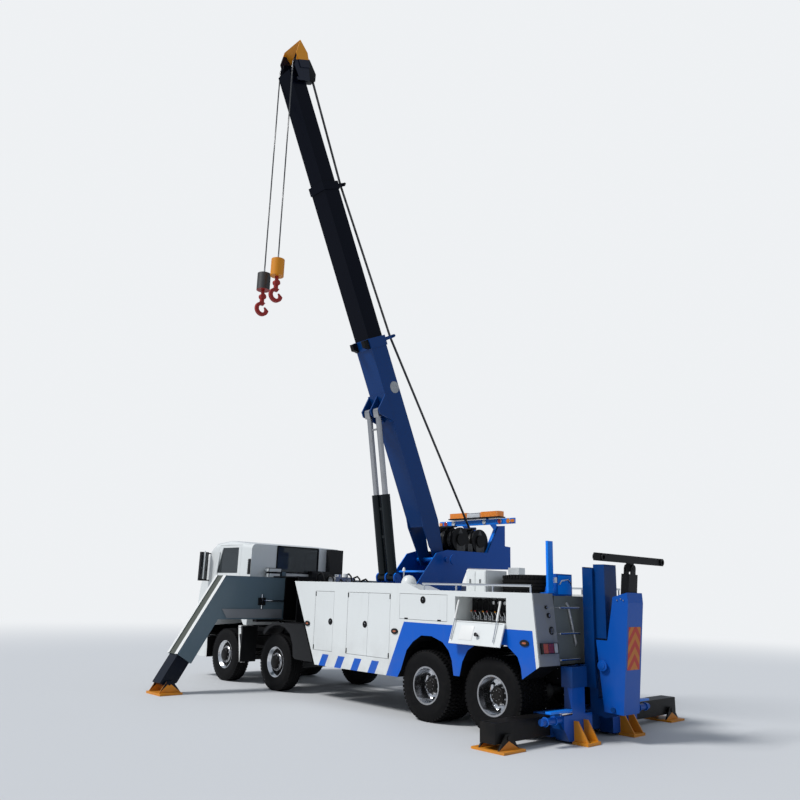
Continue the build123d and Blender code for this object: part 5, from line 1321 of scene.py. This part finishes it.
    def rear(self) -> None:
        """Adds lamp frames, knobs, latches, edge strips and a bent bar at the body's rear end."""
        shape = Shape()
        at = self.rear_face.at
        rise = self.rear_face.lean[1] / math.hypot(*self.rear_face.lean)
        latch = (1.482 - self.rear_face.foot[1]) / rise
        bars = [(0.822, 1.188, up, up + 0.009, 0.0, 0.052, Finish.PLASTIC) for up in (0.163, 0.300)]
        bars += [(y, y + 0.009, 0.172, 0.300, 0.0, 0.052, Finish.PLASTIC) for y in (0.822, 1.179)]
        bars += [(y, y + 0.006, 0.170, 0.302, 0.044, 0.048, Finish.PLASTIC) for y in (0.918, 1.056)]
        bars += [(0.862, 0.892, latch - 0.036, latch + 0.036, 0.006, 0.026, Finish.GREY_PLASTIC),
                 (0.900, 0.912, latch - 0.040, latch + 0.028, 0.006, 0.018, Finish.STEEL),
                 (1.236, 1.250, 0.0, 0.985, -0.006, 0.002, Finish.WHITE)]
        rods = [(0.882, latch, -0.001, 0.010, 0.056, Finish.PLASTIC, 32)]
        for y, z, radius in ((0.962, 1.80, 0.026), (0.925, 1.689, 0.034)):
            up = (z - self.rear_face.foot[1]) / rise
            rods += [(y, up, -0.001, 0.022, radius, Finish.PLASTIC, 24),
                     (y, up, 0.022, 0.030, radius * 0.6, Finish.STEEL, 20)]
        for sign in (1, -1):
            for y0, y1, up0, up1, out0, out1, finish in bars:
                section = [at(up0, out0), at(up1, out0), at(up1, out1), at(up0, out1)]
                shape.prism(Axis.Y, sign * y0, sign * y1, section, finish)
            for y, up, out0, out1, radius, finish, sides in rods:
                (x0, z0), (x1, z1) = at(up, out0), at(up, out1)
                shape.rod((x0, sign * y, z0), (x1, sign * y, z1), radius, finish, sides)
        shape.pipe([(-0.785, 0.450, 1.870), (-0.812, 0.437, 1.833), (-0.812, 0.255, 1.298),
                    (-0.785, 0.243, 1.262)], 0.022, Finish.ZINC)
        shape.ride("rear_panel_fittings", "truck", "trim", 0.0015)

    @staticmethod
    def posts() -> None:
        """Adds the boom's rest post and the tool box beside it."""
        post = Shape()
        post.box((-0.762, 0.712, 1.968), (-0.722, 0.840, 2.755), Finish.BRIGHT_BLUE)
        post.box((-0.766, 0.682, 1.968), (-0.640, 0.870, 2.008), Finish.BLUE)
        post.prism(Axis.Y, 0.770, 0.782, [(-0.722, 2.008), (-0.650, 2.008), (-0.722, 2.300)], Finish.BLUE)
        post.box((-0.775, 0.640, 2.150), (-0.750, 0.702, 2.235), Finish.MARKING)
        post.ride("boom_rest_post", "truck", "blue", 0.003)
        box = Shape()
        box.box((-0.765, 0.245, 1.968), (-0.655, 0.635, 2.285), Finish.BLUE)
        box.box((-0.769, 0.265, 1.990), (-0.764, 0.615, 2.265), Finish.BRIGHT_BLUE)
        box.pipe([(-0.766, 0.30, 2.13), (-0.790, 0.30, 2.13), (-0.800, 0.32, 2.15), (-0.800, 0.40, 2.20),
                  (-0.800, 0.56, 2.185), (-0.790, 0.60, 2.13), (-0.766, 0.60, 2.13)], 0.011, Finish.CHROME)
        box.ride("rear_tool_box", "truck", "blue", 0.004)

    @staticmethod
    def deck_fittings() -> None:
        """Adds the dome, its aerial, the deck box's doors and the box behind the spare wheel."""
        shape = Shape()
        dome = [(0.0, 0.0), (0.0, 0.135), (0.07, 0.130), (0.13, 0.105), (0.17, 0.06), (0.185, 0.0)]
        shape.lathe((1.90, 1.10, 2.05), Axis.Z, dome, Finish.WHITE, 40)
        shape.rod((1.90, 1.10, 2.03), (1.90, 1.10, 2.06), 0.15, Finish.PLASTIC, 40)
        shape.rod((2.03, 1.10, 2.09), (2.03, 1.10, 2.30), 0.012, Finish.CHROME, 14)
        shape.rod((2.03, 1.10, 2.30), (2.03, 1.10, 2.36), 0.035, Finish.WHITE, 20, 0.012)
        for x0, x1 in ((0.50, 0.69), (0.71, 0.89)):
            shape.box((x0, 0.7702, 1.99), (x1, 0.780, 2.31), Finish.WHITE)
            shape.box((x0 + 0.08, 0.778, 2.12), (x0 + 0.11, 0.790, 2.19), Finish.PLASTIC)
        shape.box((0.482, 0.275, 1.99), (0.4898, 0.74, 2.31), Finish.WHITE)
        shape.box((1.20, -1.18, 2.00), (1.45, -1.00, 2.44), Finish.WHITE)
        shape.ride("deck_fittings", "truck", "white", 0.003)

    @staticmethod
    def pipes() -> None:
        """Adds the hoses, bottles and valves at the deck's front."""
        shape = Shape()
        for index in range(6):
            y = -0.35 + index * 0.23
            far = y + 0.11
            top = 2.15 + 0.045 * (index % 3)
            shape.pipe([(4.84, y, 1.69), (4.84, y, top - 0.06), (4.82, y, top - 0.02), (4.78, y + 0.02, top),
                        (4.62, y + 0.06, top + 0.03), (4.50, y + 0.10, top - 0.02), (4.44, far, top - 0.14),
                        (4.43, far, 1.69)], 0.017, Finish.RUBBER)
            shape.rod((4.84, y, 1.69), (4.84, y, 1.78), 0.026, Finish.CHROME, 14)
            shape.rod((4.43, far, 1.69), (4.43, far, 1.80), 0.026, Finish.CHROME, 14)
        shape.box((4.55, 0.10, 1.69), (4.78, 0.56, 2.20), Finish.ZINC)
        shape.rod((4.66, 0.42, 2.20), (4.66, 0.42, 2.25), 0.07, Finish.CHROME, 24)
        shape.rod((4.66, 0.22, 2.20), (4.66, 0.22, 2.27), 0.05, Finish.WHITE, 24)
        shape.box((4.50, -0.62, 1.69), (4.74, -0.3, 1.98), Finish.IRON)
        shape.ride("deck_pipes", "truck", "deck_steel", 0.002)

    def marker_frames(self) -> None:
        """Adds the dark oval surrounds and pale lenses of the side marker lamps."""
        shape = Shape()
        parts = ((0.080, 0.046, 0.0152, Finish.PLASTIC), (0.040, 0.017, 0.0175, Finish.MARKER))
        for sign, (x, z), (half, rise, out, finish) in product((1, -1), self.markers, parts):
            turns = [2 * math.pi * index / 28 for index in range(28)]
            oval = [(x + half * math.cos(turn), z + rise * math.sin(turn)) for turn in turns]
            shape.prism(Axis.Y, sign * self.side_y, sign * (self.side_y + out), oval, finish)
        shape.ride("marker_surrounds", "truck", "trim", 0.002)


@dataclass
class Outriggers:
    """Outrigger arms, legs and rear beams, and the fittings of the front arms."""

    arm_x: dict[str, float] = field(default_factory=lambda: {"left": 5.988, "right": 5.538})
    arm_width: float = 0.424
    beam_y: dict[str, float] = field(default_factory=lambda: {"left": 1.5, "right": 2.1})

    def build(self) -> None:
        """Dresses the arms, legs and beams and adds their fittings."""
        for name, sign in SIDES:
            dress(f"arm_{name}", self.arm(self.arm_x[name], sign))
            dress(f"leg_{name}", lambda at, facing: Finish.YELLOW if at.z < 0.155 else Finish.INK)
            dress(f"rear_beam_{name}", self.beam(self.beam_y[name]))
            self.valve(name, sign, self.arm_x[name])
        self.filler()

    @staticmethod
    def beam(reach: float) -> Chooser:
        """Makes what picks a rear beam's finish.

        Args:
            reach: Distance from the middle past which the foot is yellow.

        Returns:
            The chooser.
        """
        def pick(at: Vector, facing: Vector) -> Finish:
            """Picks yellow on the foot and black on the beam."""
            foot = at.z < 0.08 or at.x < -0.885 or at.x > -0.50
            return Finish.YELLOW if foot and at.z < 0.235 and abs(at.y) > reach else Finish.BLACK

        return pick

    def arm(self, x: float, sign: int) -> Chooser:
        """Makes what picks an arm's finish.

        Args:
            x: The arm's rear face.
            sign: Which way its side lies along Y.

        Returns:
            The chooser.
        """
        def pick(at: Vector, facing: Vector) -> Finish:
            """Picks the striped slant and its pale edges, and slate for the rest."""
            depth = min(at.x - x, x + self.arm_width - at.x)
            if facing.y * sign > 0.5 and facing.z > 0.1:
                return Finish.OLIVE if depth > 0.071 else Finish.MARKING
            end = abs(facing.z) < 0.3 and abs(facing.x) < 0.3 and facing.y * sign > 0
            return Finish.MARKING if end and depth < 0.075 else Finish.SLATE

        return pick

    @staticmethod
    def valve(name: str, sign: int, x: float) -> None:
        """Adds the lock valve and pipe at the housing's wall and the guard and band on the arm.

        Args:
            name: The arm's side.
            sign: Which way that side lies along Y.
            x: The arm's rear face.
        """
        shape = Shape()
        shape.box((x - 0.038, sign * 1.24, 1.60), (x - 0.006, sign * 1.40, 1.75), Finish.BLACK)
        shape.rod((x - 0.022, sign * 1.32, 1.53), (x - 0.022, sign * 1.32, 1.82), 0.0165, Finish.CHROME, 18)
        shape.rod((x - 0.022, sign * 1.28, 1.69), (x - 0.022, sign * 0.755, 1.69), 0.0165, Finish.CHROME, 16)
        shape.ride(f"arm_valve_{name}", "truck", "chrome", 0.003)
        shape = Shape()
        shape.box((x - 0.004, sign * 0.50, 2.158), (x, sign * 1.26, 2.164), Finish.BLACK)
        band = [(sign * y, z) for y, z in ((0.80, 1.352), (2.10, 1.352), (2.22, 1.525), (0.80, 1.525))]
        # The band uses the same grey as the painted shade on the bodies' rear faces.
        shape.prism(Axis.X, x - 0.005, x, band, Finish.BODY_REAR)
        shape.ride(f"arm_guard_{name}", f"arm_{name}", "slate")

    @staticmethod
    def filler() -> None:
        """Adds the slim hydraulic tank with its white filler between the arms' housing and the cab."""
        shape = Shape()
        for x0, y0, z0, x1, y1, z1, finish in (
                (6.455, 0.40, 1.25, 6.605, 1.10, 2.06, Finish.BLACK),
                (6.465, 0.565, 2.06, 6.595, 0.865, 2.26, Finish.WHITE),
                (6.455, 0.550, 2.275, 6.605, 0.880, 2.365, Finish.WHITE),
                (6.475, 0.575, 2.255, 6.585, 0.855, 2.280, Finish.PLASTIC),
                (6.465, 0.415, 2.06, 6.595, 0.540, 2.31, Finish.SLATE)):
            shape.box((x0, y0, z0), (x1, y1, z1), finish)
        shape.ride("hydraulic_filler", "truck", "white", 0.014)


@dataclass
class Chassis:
    """Frame, axles, wheel guards, rear stabiliser and their small parts."""

    flap_x: float = 6.905
    rail_y: float = 0.425
    bolt_pitch: float = 0.2

    def build(self) -> None:
        """Dresses the chassis and adds its fittings."""
        dress("frame", lambda at, facing: Finish.DEEP_BLUE if at.x < -0.8 else Finish.BLACK)
        dress("driveline", Finish.IRON)
        for axle, (name, _) in product((1, 2), SIDES):
            dress(f"knuckle_{axle}_{name}", Finish.IRON)
        dress("guards", Finish.PLASTIC)
        dress("stabiliser", self.stabiliser_paint)
        self.flaps()
        self.rail_bolts()
        self.bracket()

    @staticmethod
    def stabiliser_paint(at: Vector, facing: Vector) -> Finish:
        """Picks the finish of the stabiliser frame and its pads."""
        if at.z < 0.31 and at.x < -1.0645 and abs(at.y) < 0.8:
            return Finish.YELLOW
        return Finish.BLUE if at.z > 0.12 and -1.31 < at.x < -0.99 and abs(at.y) > 0.26 else Finish.DEEP_BLUE

    def flaps(self) -> None:
        """Adds the edge strips of the flaps behind the first wheels."""
        shape = Shape()
        strips = (((1.087, 0.42), (1.160, 0.42), (1.240, 1.12), (1.155, 1.12), 0.10, Finish.MARKING),
                  ((0.930, 1.13), (1.240, 1.13), (1.240, 1.16), (0.930, 1.16), 0.10, Finish.MARKING),
                  ((0.950, 0.49), (1.040, 0.49), (1.060, 1.13), (0.950, 1.13), 0.03, Finish.GREY_PLASTIC))
        for sign, (*outline, depth, finish) in product((1, -1), strips):
            shape.prism(Axis.X, self.flap_x - depth, self.flap_x, [(sign * y, z) for y, z in outline], finish)
        shape.ride("flap_strips", "truck", "trim")

    def rail_bolts(self) -> None:
        """Adds rows of bolts along the chassis rails."""
        shape = Shape()
        for sign, (start, count), z in product((1, -1), ((-0.6, 9), (2.0, 14)), (0.79, 0.93)):
            shape.along(nut(0.012, 0.010), count, (start, sign * self.rail_y, z), (self.bolt_pitch, 0.0, 0.0),
                        (-sign * math.pi / 2, 0.0, 0.0))
        shape.ride("rail_bolts", "truck", "chassis")

    @staticmethod
    def bracket() -> None:
        """Adds the towing bracket, its pins and chain eyes on the stabiliser."""
        shape = Shape()
        for sign in (1, -1):
            shape.box((-1.09, sign * 0.80, 0.425), (-1.0, sign * 1.30, 0.455), Finish.BRIGHT_BLUE)
            shape.rod((-1.05, sign * 0.76, 0.405), (-1.05, sign * 1.02, 0.405), 0.022, Finish.CHROME, 18)
            for y in (0.9, 1.1, 1.3):
                shape.rod((-1.0, sign * y, 0.325), (-1.0, sign * (y + 0.018), 0.325), 0.062, Finish.BLUE, 28)
        shape.ride("towing_bracket", "stabiliser", "blue", 0.003)


@dataclass
class Turret:
    """Slewing turret with two winches and the lamp board above them."""

    middle_x: float = 2.750
    winch_y: Flat = (-0.760, -1.330)
    winch_z: float = 2.960
    rope_pitch: float = 0.022
    rope_radius: float = 0.0105
    drum_radius: float = 0.163
    board_y: float = -1.600
    lamp_z: float = 3.365
    beacon_z: float = 3.463
    ring_radius: float = 0.575
    ring_z: float = 1.4605

    def build(self) -> None:
        """Dresses the turret and adds its fittings."""
        dress("turret", self.paint)
        dress("winches", self.winch_paint)
        dress("lamp_board", self.board_paint)
        self.winches()
        self.board()
        self.ring()

    @staticmethod
    def paint(at: Vector, facing: Vector) -> Finish:
        """Picks the finish of the turret: bright blue as painted light on the sloping noses that face up
        towards the light.
        """
        lit_nose = facing.z > 0.35 and facing.y > 0.3 and 1.9 < at.z < 2.7
        return Finish.BRIGHT_BLUE if lit_nose else Finish.BLUE

    def winch_paint(self, at: Vector, facing: Vector) -> Finish:
        """Picks the finish of the winches: bare on the drums."""
        drum = min(math.hypot(at.y - y, at.z - self.winch_z) for y in self.winch_y) < 0.16
        return Finish.IRON if drum else Finish.BLACK

    def board_paint(self, at: Vector, facing: Vector) -> Finish:
        """Picks the finish of the lamp board's parts."""
        if at.z > self.beacon_z:
            return Finish.AMBER
        if at.y > self.board_y + 0.0205 and 3.3 < at.z < 3.43:
            across = at.x - self.middle_x
            if across > 0.9 or across < -0.75:
                return Finish.AMBER
            return Finish.CLEAR if 0.0 < across < 0.7 else Finish.SCARLET
        return Finish.BRIGHT_BLUE if at.z < 3.43 else Finish.BLACK

    def winches(self) -> None:
        """Adds the rope wraps, motors, hoses and bolts of the winches."""
        shape = Shape()
        middle, z = self.middle_x, self.winch_z
        turns = [turn * math.pi / 3 for turn in range(6)]
        wrap = [(self.rope_radius * math.cos(turn), self.drum_radius + self.rope_radius * math.sin(turn))
                for turn in turns]
        for y in self.winch_y:
            for start, end in ((-0.30, -0.13), (-0.08, 0.09), (0.14, 0.29)):
                ring = Shape()
                ring.lathe((0, 0, 0), Axis.X, wrap, Finish.ROPE, 32, shut=True)
                shape.along(ring, round((end - start) / self.rope_pitch), (middle + start + 0.012, y, z),
                            (self.rope_pitch, 0.0, 0.0))
            for sign, inner in ((-1, 0.32), (1, 0.33)):
                turn = (0.0, sign * math.pi / 2, 0.0)
                shape.around(nut(0.014, 0.014), 10, 0.1, (middle + sign * 0.345, y, z), turn)
                shape.rod((middle + sign * 0.37, y, z), (middle + sign * inner, y, z), 0.12, Finish.BLACK, 32)
            shape.rod((middle - 0.22, y + 0.10, z + 0.235), (middle + 0.2, y + 0.10, z + 0.235), 0.03,
                      Finish.BLACK)
            for index in range(4):
                x = middle - 0.25 + index * 0.16
                shape.pipe([(x, y + 0.14, 2.78), (x - 0.02, y + 0.21, 2.95), (x - 0.03, y + 0.19, 3.12),
                            (x, y + 0.10, 3.2), (x + 0.04, y - 0.02, 3.215)], 0.016, Finish.RUBBER)
        shape.box((middle - 0.33, -1.12, 2.74), (middle + 0.33, -0.98, 2.90), Finish.IRON)
        shape.ride("winch_fittings", "turret", "rope")

    def board(self) -> None:
        """Adds beacon lenses, their ribs, lamp rims and the board's struts."""
        shape = Shape()
        x, y = self.middle_x, self.board_y
        shape.box((x - 0.17, y - 0.09, self.beacon_z), (x + 0.17, y + 0.09, 3.545), Finish.CLEAR)
        shape.box((x - 0.175, y - 0.095, 3.545), (x + 0.175, y + 0.095, 3.555), Finish.CHROME)
        for centre, index in product((-0.42, 0.42), range(9)):
            at = x + centre - 0.2 + index * 0.05
            shape.box((at - 0.004, y - 0.102, 3.47), (at + 0.004, y + 0.1045, 3.563), Finish.AMBER)
        rim = [(0.0, 0.043), (0.0, 0.052), (0.018, 0.052), (0.024, 0.044)]
        for at in (-0.86, -0.64, 0.60, 0.82):
            shape.lathe((x + at, y + 0.019, self.lamp_z), Axis.Y, rim, Finish.CHROME, 28, shut=True)
        back, front = y + 0.018, y + 0.042
        shape.rod((x - 0.24, back, self.lamp_z), (x - 0.24, front, self.lamp_z), 0.042, Finish.CLEAR, 28)
        strut = [(-1.813, 3.300), (-1.470, 2.745), (-1.482, 2.738), (-1.826, 3.293)]
        for side in (-1, 1):
            shape.prism(Axis.X, x + side * 0.40, x + side * 0.31, strut, Finish.BRIGHT_BLUE)
        shape.ride("lamp_board_fittings", "turret", "lens", 0.002)

    def ring(self) -> None:
        """Adds the slewing ring's bolts and the pivot pins' caps."""
        shape = Shape()
        shape.around(nut(0.02, 0.02), 36, self.ring_radius, (self.middle_x, 0.0, self.ring_z))
        pivot = next(joint["pos_m"] for joint in frame["joints"] if joint["name"] == "boom_lift")
        low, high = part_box("turret")
        for x, out in ((low.x, -1), (high.x, 1)):
            shape.rod((x - out * 0.03, *pivot[1:]), (x - out * 0.001, *pivot[1:]), 0.095, Finish.BLUE, 36)
        shape.ride("turret_fittings", "turret", "blue")


@dataclass
class Boom:
    """Telescopic boom, its cylinders, ropes, head and hooks."""

    middle_x: float = 2.750
    rope_x: float = 0.014
    rope_radius: float = 0.013
    lean: float = math.radians(64.8)
    axis_offset: float = 1.437
    winch: Flat = (-1.502, 3.075)

    def __post_init__(self) -> None:
        """Works out the boom's line, and the rope's places on it by the head, middle collar and roller."""
        self.cos, self.sin = math.cos(self.lean), math.sin(self.lean)
        self.at = Slope((-self.axis_offset * self.sin, self.axis_offset * self.cos), (self.cos, self.sin)).at
        self.stops = ((11.50, 0.505), (9.50, 0.436), (6.49, 0.566))

    def build(self) -> None:
        """Dresses the boom and adds its ropes and fittings."""
        dress("boom_base", Finish.DEEP_BLUE)
        dress("boom_mid", Finish.NAVY)
        dress("boom_tip", self.tip)
        dress("lift_barrels", Finish.CYLINDER)
        dress("lift_rods", Finish.STEEL)
        dress("hook_left", lambda at, facing: Finish.IRON if at.z > 6.89 else Finish.RED)
        dress("hook_right", lambda at, facing: Finish.YELLOW if at.z > 7.03 else Finish.RED)
        self.hoist_ropes()
        self.boom_ropes()
        self.winch_ropes()
        self.badge()

    def tip(self, at: Vector, facing: Vector) -> Finish:
        """Picks the finish of the tip section: a yellow guard round the dark head."""
        if abs(at.x - self.middle_x) > 0.243 and at.z > 10.9:
            return Finish.GUARD
        along = at.y * self.cos + at.z * self.sin
        out = at.z * self.cos - at.y * self.sin - self.axis_offset
        return Finish.YELLOW if along > 12.0 and out > 0.22 else Finish.NAVY

    def hoist_ropes(self) -> None:
        """Hangs a laid rope from each sheave."""
        for name, keep in (("left", 0.261), ("right", 0.235)):
            low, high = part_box(f"rope_{name}")
            x, y, _ = (low + high) / 2
            shape = Shape()
            shape.rope((x, y, low.z), (x, y, high.z), self.rope_radius)
            shape.rod((x, y, low.z), (x, y, low.z + 0.10), self.rope_radius, Finish.STEEL, 14)
            rope = shape.build(f"hoist_rope_{name}")
            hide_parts(f"rope_{name}")
            ride(rope, f"line_{name}")
            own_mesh(rope)

    def boom_ropes(self) -> None:
        """Runs both ropes from the head's guide past the middle collar to the base roller."""
        for name, body, joint, ends, travel in (("tip", "boom_mid", "tip_extend", self.stops[:2], 1.8468),
                                                ("mid", "boom_base", "boom_extend", self.stops[1:], 2.77)):
            shape = Shape()
            first, last = (self.at(*end) for end in ends)
            for side in (-1, 1):
                x = self.middle_x + side * self.rope_x
                shape.rope((x, *first), (x, *last), self.rope_radius)
            rope = shape.ride(f"boom_ropes_{name}", body, "rope")
            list(last)
            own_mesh(rope)

    def winch_ropes(self) -> None:
        """Runs both ropes from the base roller down to the winch, and adds the guide at the head."""
        shape = Shape()
        roller = self.at(*self.stops[2])
        start, end = (self.middle_x, *self.winch), (self.middle_x, *roller)
        strands = circle(*square(Vector(end) - Vector(start)), self.rope_radius * 2 / 3, 6)
        for side, strand in product((-1, 1), strands):
            offset = strand + Vector((side * self.rope_x, 0.0, 0.0))
            shape.rod(Vector(end) + offset, Vector(start) + offset, self.rope_radius / 3, Finish.ROPE, 8)
        rope = shape.build("boom_ropes_base")
        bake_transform(rope)
        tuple(start)
        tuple(end)
        guide = Shape()
        outline = [self.at(*place) for place in
                   ((11.48, 0.30), (11.48, 0.50), (11.62, 0.57), (11.90, 0.52), (11.96, 0.30))]
        guide.prism(Axis.X, self.middle_x - 0.075, self.middle_x + 0.075, outline, Finish.BLACK)
        guide.ride("head_rope_guide", "boom_tip", "trim", 0.004)

    def badge(self) -> None:
        """Adds the blank disc on each side of the base section and the lugs under its collar."""
        shape = Shape()
        y, z = self.at(5.55, 0.085)
        for out in (-1, 1):
            x = self.middle_x + out * 0.2101
            shape.rod((x, y, z), (x + out * 0.004, y, z), 0.112, Finish.ZINC, 48)
        lug = [self.at(*place) for place in ((6.36, -0.21), (6.54, -0.21), (6.54, -0.33), (6.42, -0.33))]
        for x in (self.middle_x - 0.20, self.middle_x + 0.12):
            shape.prism(Axis.X, x, x + 0.08, lug, Finish.BLACK)
        shape.ride("boom_badges", "boom_base", "blue")


@dataclass
class Underlift:
    """Rear mast, folded lift arm, inner arm and cross bar."""

    rear_plate: Slope = Slope((-1.533, 0.381), (-0.139, 1.518))

    def build(self) -> None:
        """Dresses the underlift and adds its fittings."""
        # The mast takes the deep blue as painted shade, for a shadow that falls on it.
        dress("mast", Finish.DEEP_BLUE)
        dress("lift_arm", Finish.BLUE)
        dress("inner_arm", Finish.BLACK)
        dress("cross_bar", Finish.BLACK)
        self.chevrons()
        self.bolts()

    def chevrons(self) -> None:
        """Adds the chevron sheet on the arm's rear plate."""
        shape = Shape()
        at = self.rear_plate.at
        sheet = [at(0.60), at(1.19), at(1.19, 0.002), at(0.60, 0.002)]
        shape.prism(Axis.Y, -0.165, 0.165, sheet, Finish.CHEVRON)
        shape.ride("chevron_sheet", "lift_arm", "blue")

    @staticmethod
    def bolts() -> None:
        """Adds the head plate's bolts and the boss's rings."""
        shape = Shape()
        for sign in (1, -1):
            for x, z, start, end, radius, finish, sides in (
                    (-1.246, 1.018, 0.25, 0.2635, 0.075, Finish.BLUE, 32),
                    (-1.246, 1.018, 0.2555, 0.2715, 0.045, Finish.BLUE, 32),
                    (-1.60, 1.93, 0.21, 0.222, 0.012, Finish.STEEL, 6),
                    (-1.56, 1.95, 0.21, 0.222, 0.012, Finish.STEEL, 6),
                    (-1.50, 1.93, 0.21, 0.222, 0.012, Finish.STEEL, 6)):
                shape.rod((x, sign * start, z), (x, sign * end, z), radius, finish, sides)
        shape.ride("lift_arm_bolts", "lift_arm", "blue", 0.002)


@dataclass
class Studio:
    """Pale floor, soft light and the camera."""

    focal: float = 33.69
    sensor: float = 36.0
    yaw: float = math.radians(-43.057)
    pitch: float = math.radians(14.252)
    roll: float = math.radians(1.7205)
    place: Point = (-7.4496, 10.1687, 1.9793)
    floor_half: float = 60.0
    sun: float = 2.7
    sun_spread: float = math.radians(14.0)
    sun_from: Point = (0.30, 0.70, 0.85)
    sky: float = 0.48
    sky_colour: Colour = rgb(0.80, 0.88, 1.0)

    def build(self) -> None:
        """Builds the floor, the lights and the camera."""
        shape = Shape()
        half = self.floor_half
        shape.box((-half, -half, -0.02), (half, half, -0.0005), Finish.FLOOR)
        shape.build("studio_floor")
        self.lights()
        self.camera()

    def lights(self) -> None:
        """Sets the sun and the pale surroundings."""
        data = bpy.data.lights.new("soft_sun", "SUN")
        data.energy = self.sun
        data.angle = self.sun_spread
        lamp = bpy.data.objects.new("soft_sun", data)
        lamp.rotation_euler = Vector(self.sun_from).to_track_quat("Z", "Y").to_euler()
        bpy.context.scene.collection.objects.link(lamp)
        world = bpy.data.worlds.new("studio_air")
        bpy.context.scene.world = world
        graph = Graph(world)
        path = graph.node("ShaderNodeLightPath").outputs
        seen = Field(graph, path["Is Camera Ray"]).most(Field(graph, path["Is Transmission Ray"]))
        light = graph.node("ShaderNodeBackground", values={"Color": self.sky_colour, "Strength": self.sky})
        shown = graph.node("ShaderNodeBackground", values={"Color": Finish.FLOOR.value.haze})
        both = graph.node("ShaderNodeMixShader", values={0: seen, 1: light.outputs[0], 2: shown.outputs[0]})
        graph.node("ShaderNodeOutputWorld", values={"Surface": both.outputs[0]})

    def camera(self) -> None:
        """Sets the camera where the photograph was taken from."""
        data = bpy.data.cameras.new("camera")
        data.lens = self.focal
        data.sensor_width = self.sensor
        data.clip_end = 500.0
        level = math.cos(self.pitch)
        ahead = Vector((level * math.cos(self.yaw), level * math.sin(self.yaw), math.sin(self.pitch)))
        right = Vector((math.sin(self.yaw), -math.cos(self.yaw), 0.0))
        up = right.cross(ahead)
        cos, sin = math.cos(self.roll), math.sin(self.roll)
        turn = Matrix((right * cos + up * sin, up * cos - right * sin, -ahead)).transposed().to_4x4()
        camera = bpy.data.objects.new("camera", data)
        camera.matrix_world = Matrix.Translation(self.place) @ turn
        bpy.context.scene.collection.objects.link(camera)
        bpy.context.scene.camera = camera


def main() -> None:
    """Builds the whole vehicle's looks."""
    logging.basicConfig(level=logging.INFO, format="%(message)s")
    bpy.context.scene.view_settings.view_transform = "Standard"
    for part in (Studio, Wheels, Cab, Bodywork, Outriggers, Chassis, Turret, Boom, Underlift):
        LOG.info("building %s", part.__name__)
        part().build()


if __name__ == "__main__":
    main()
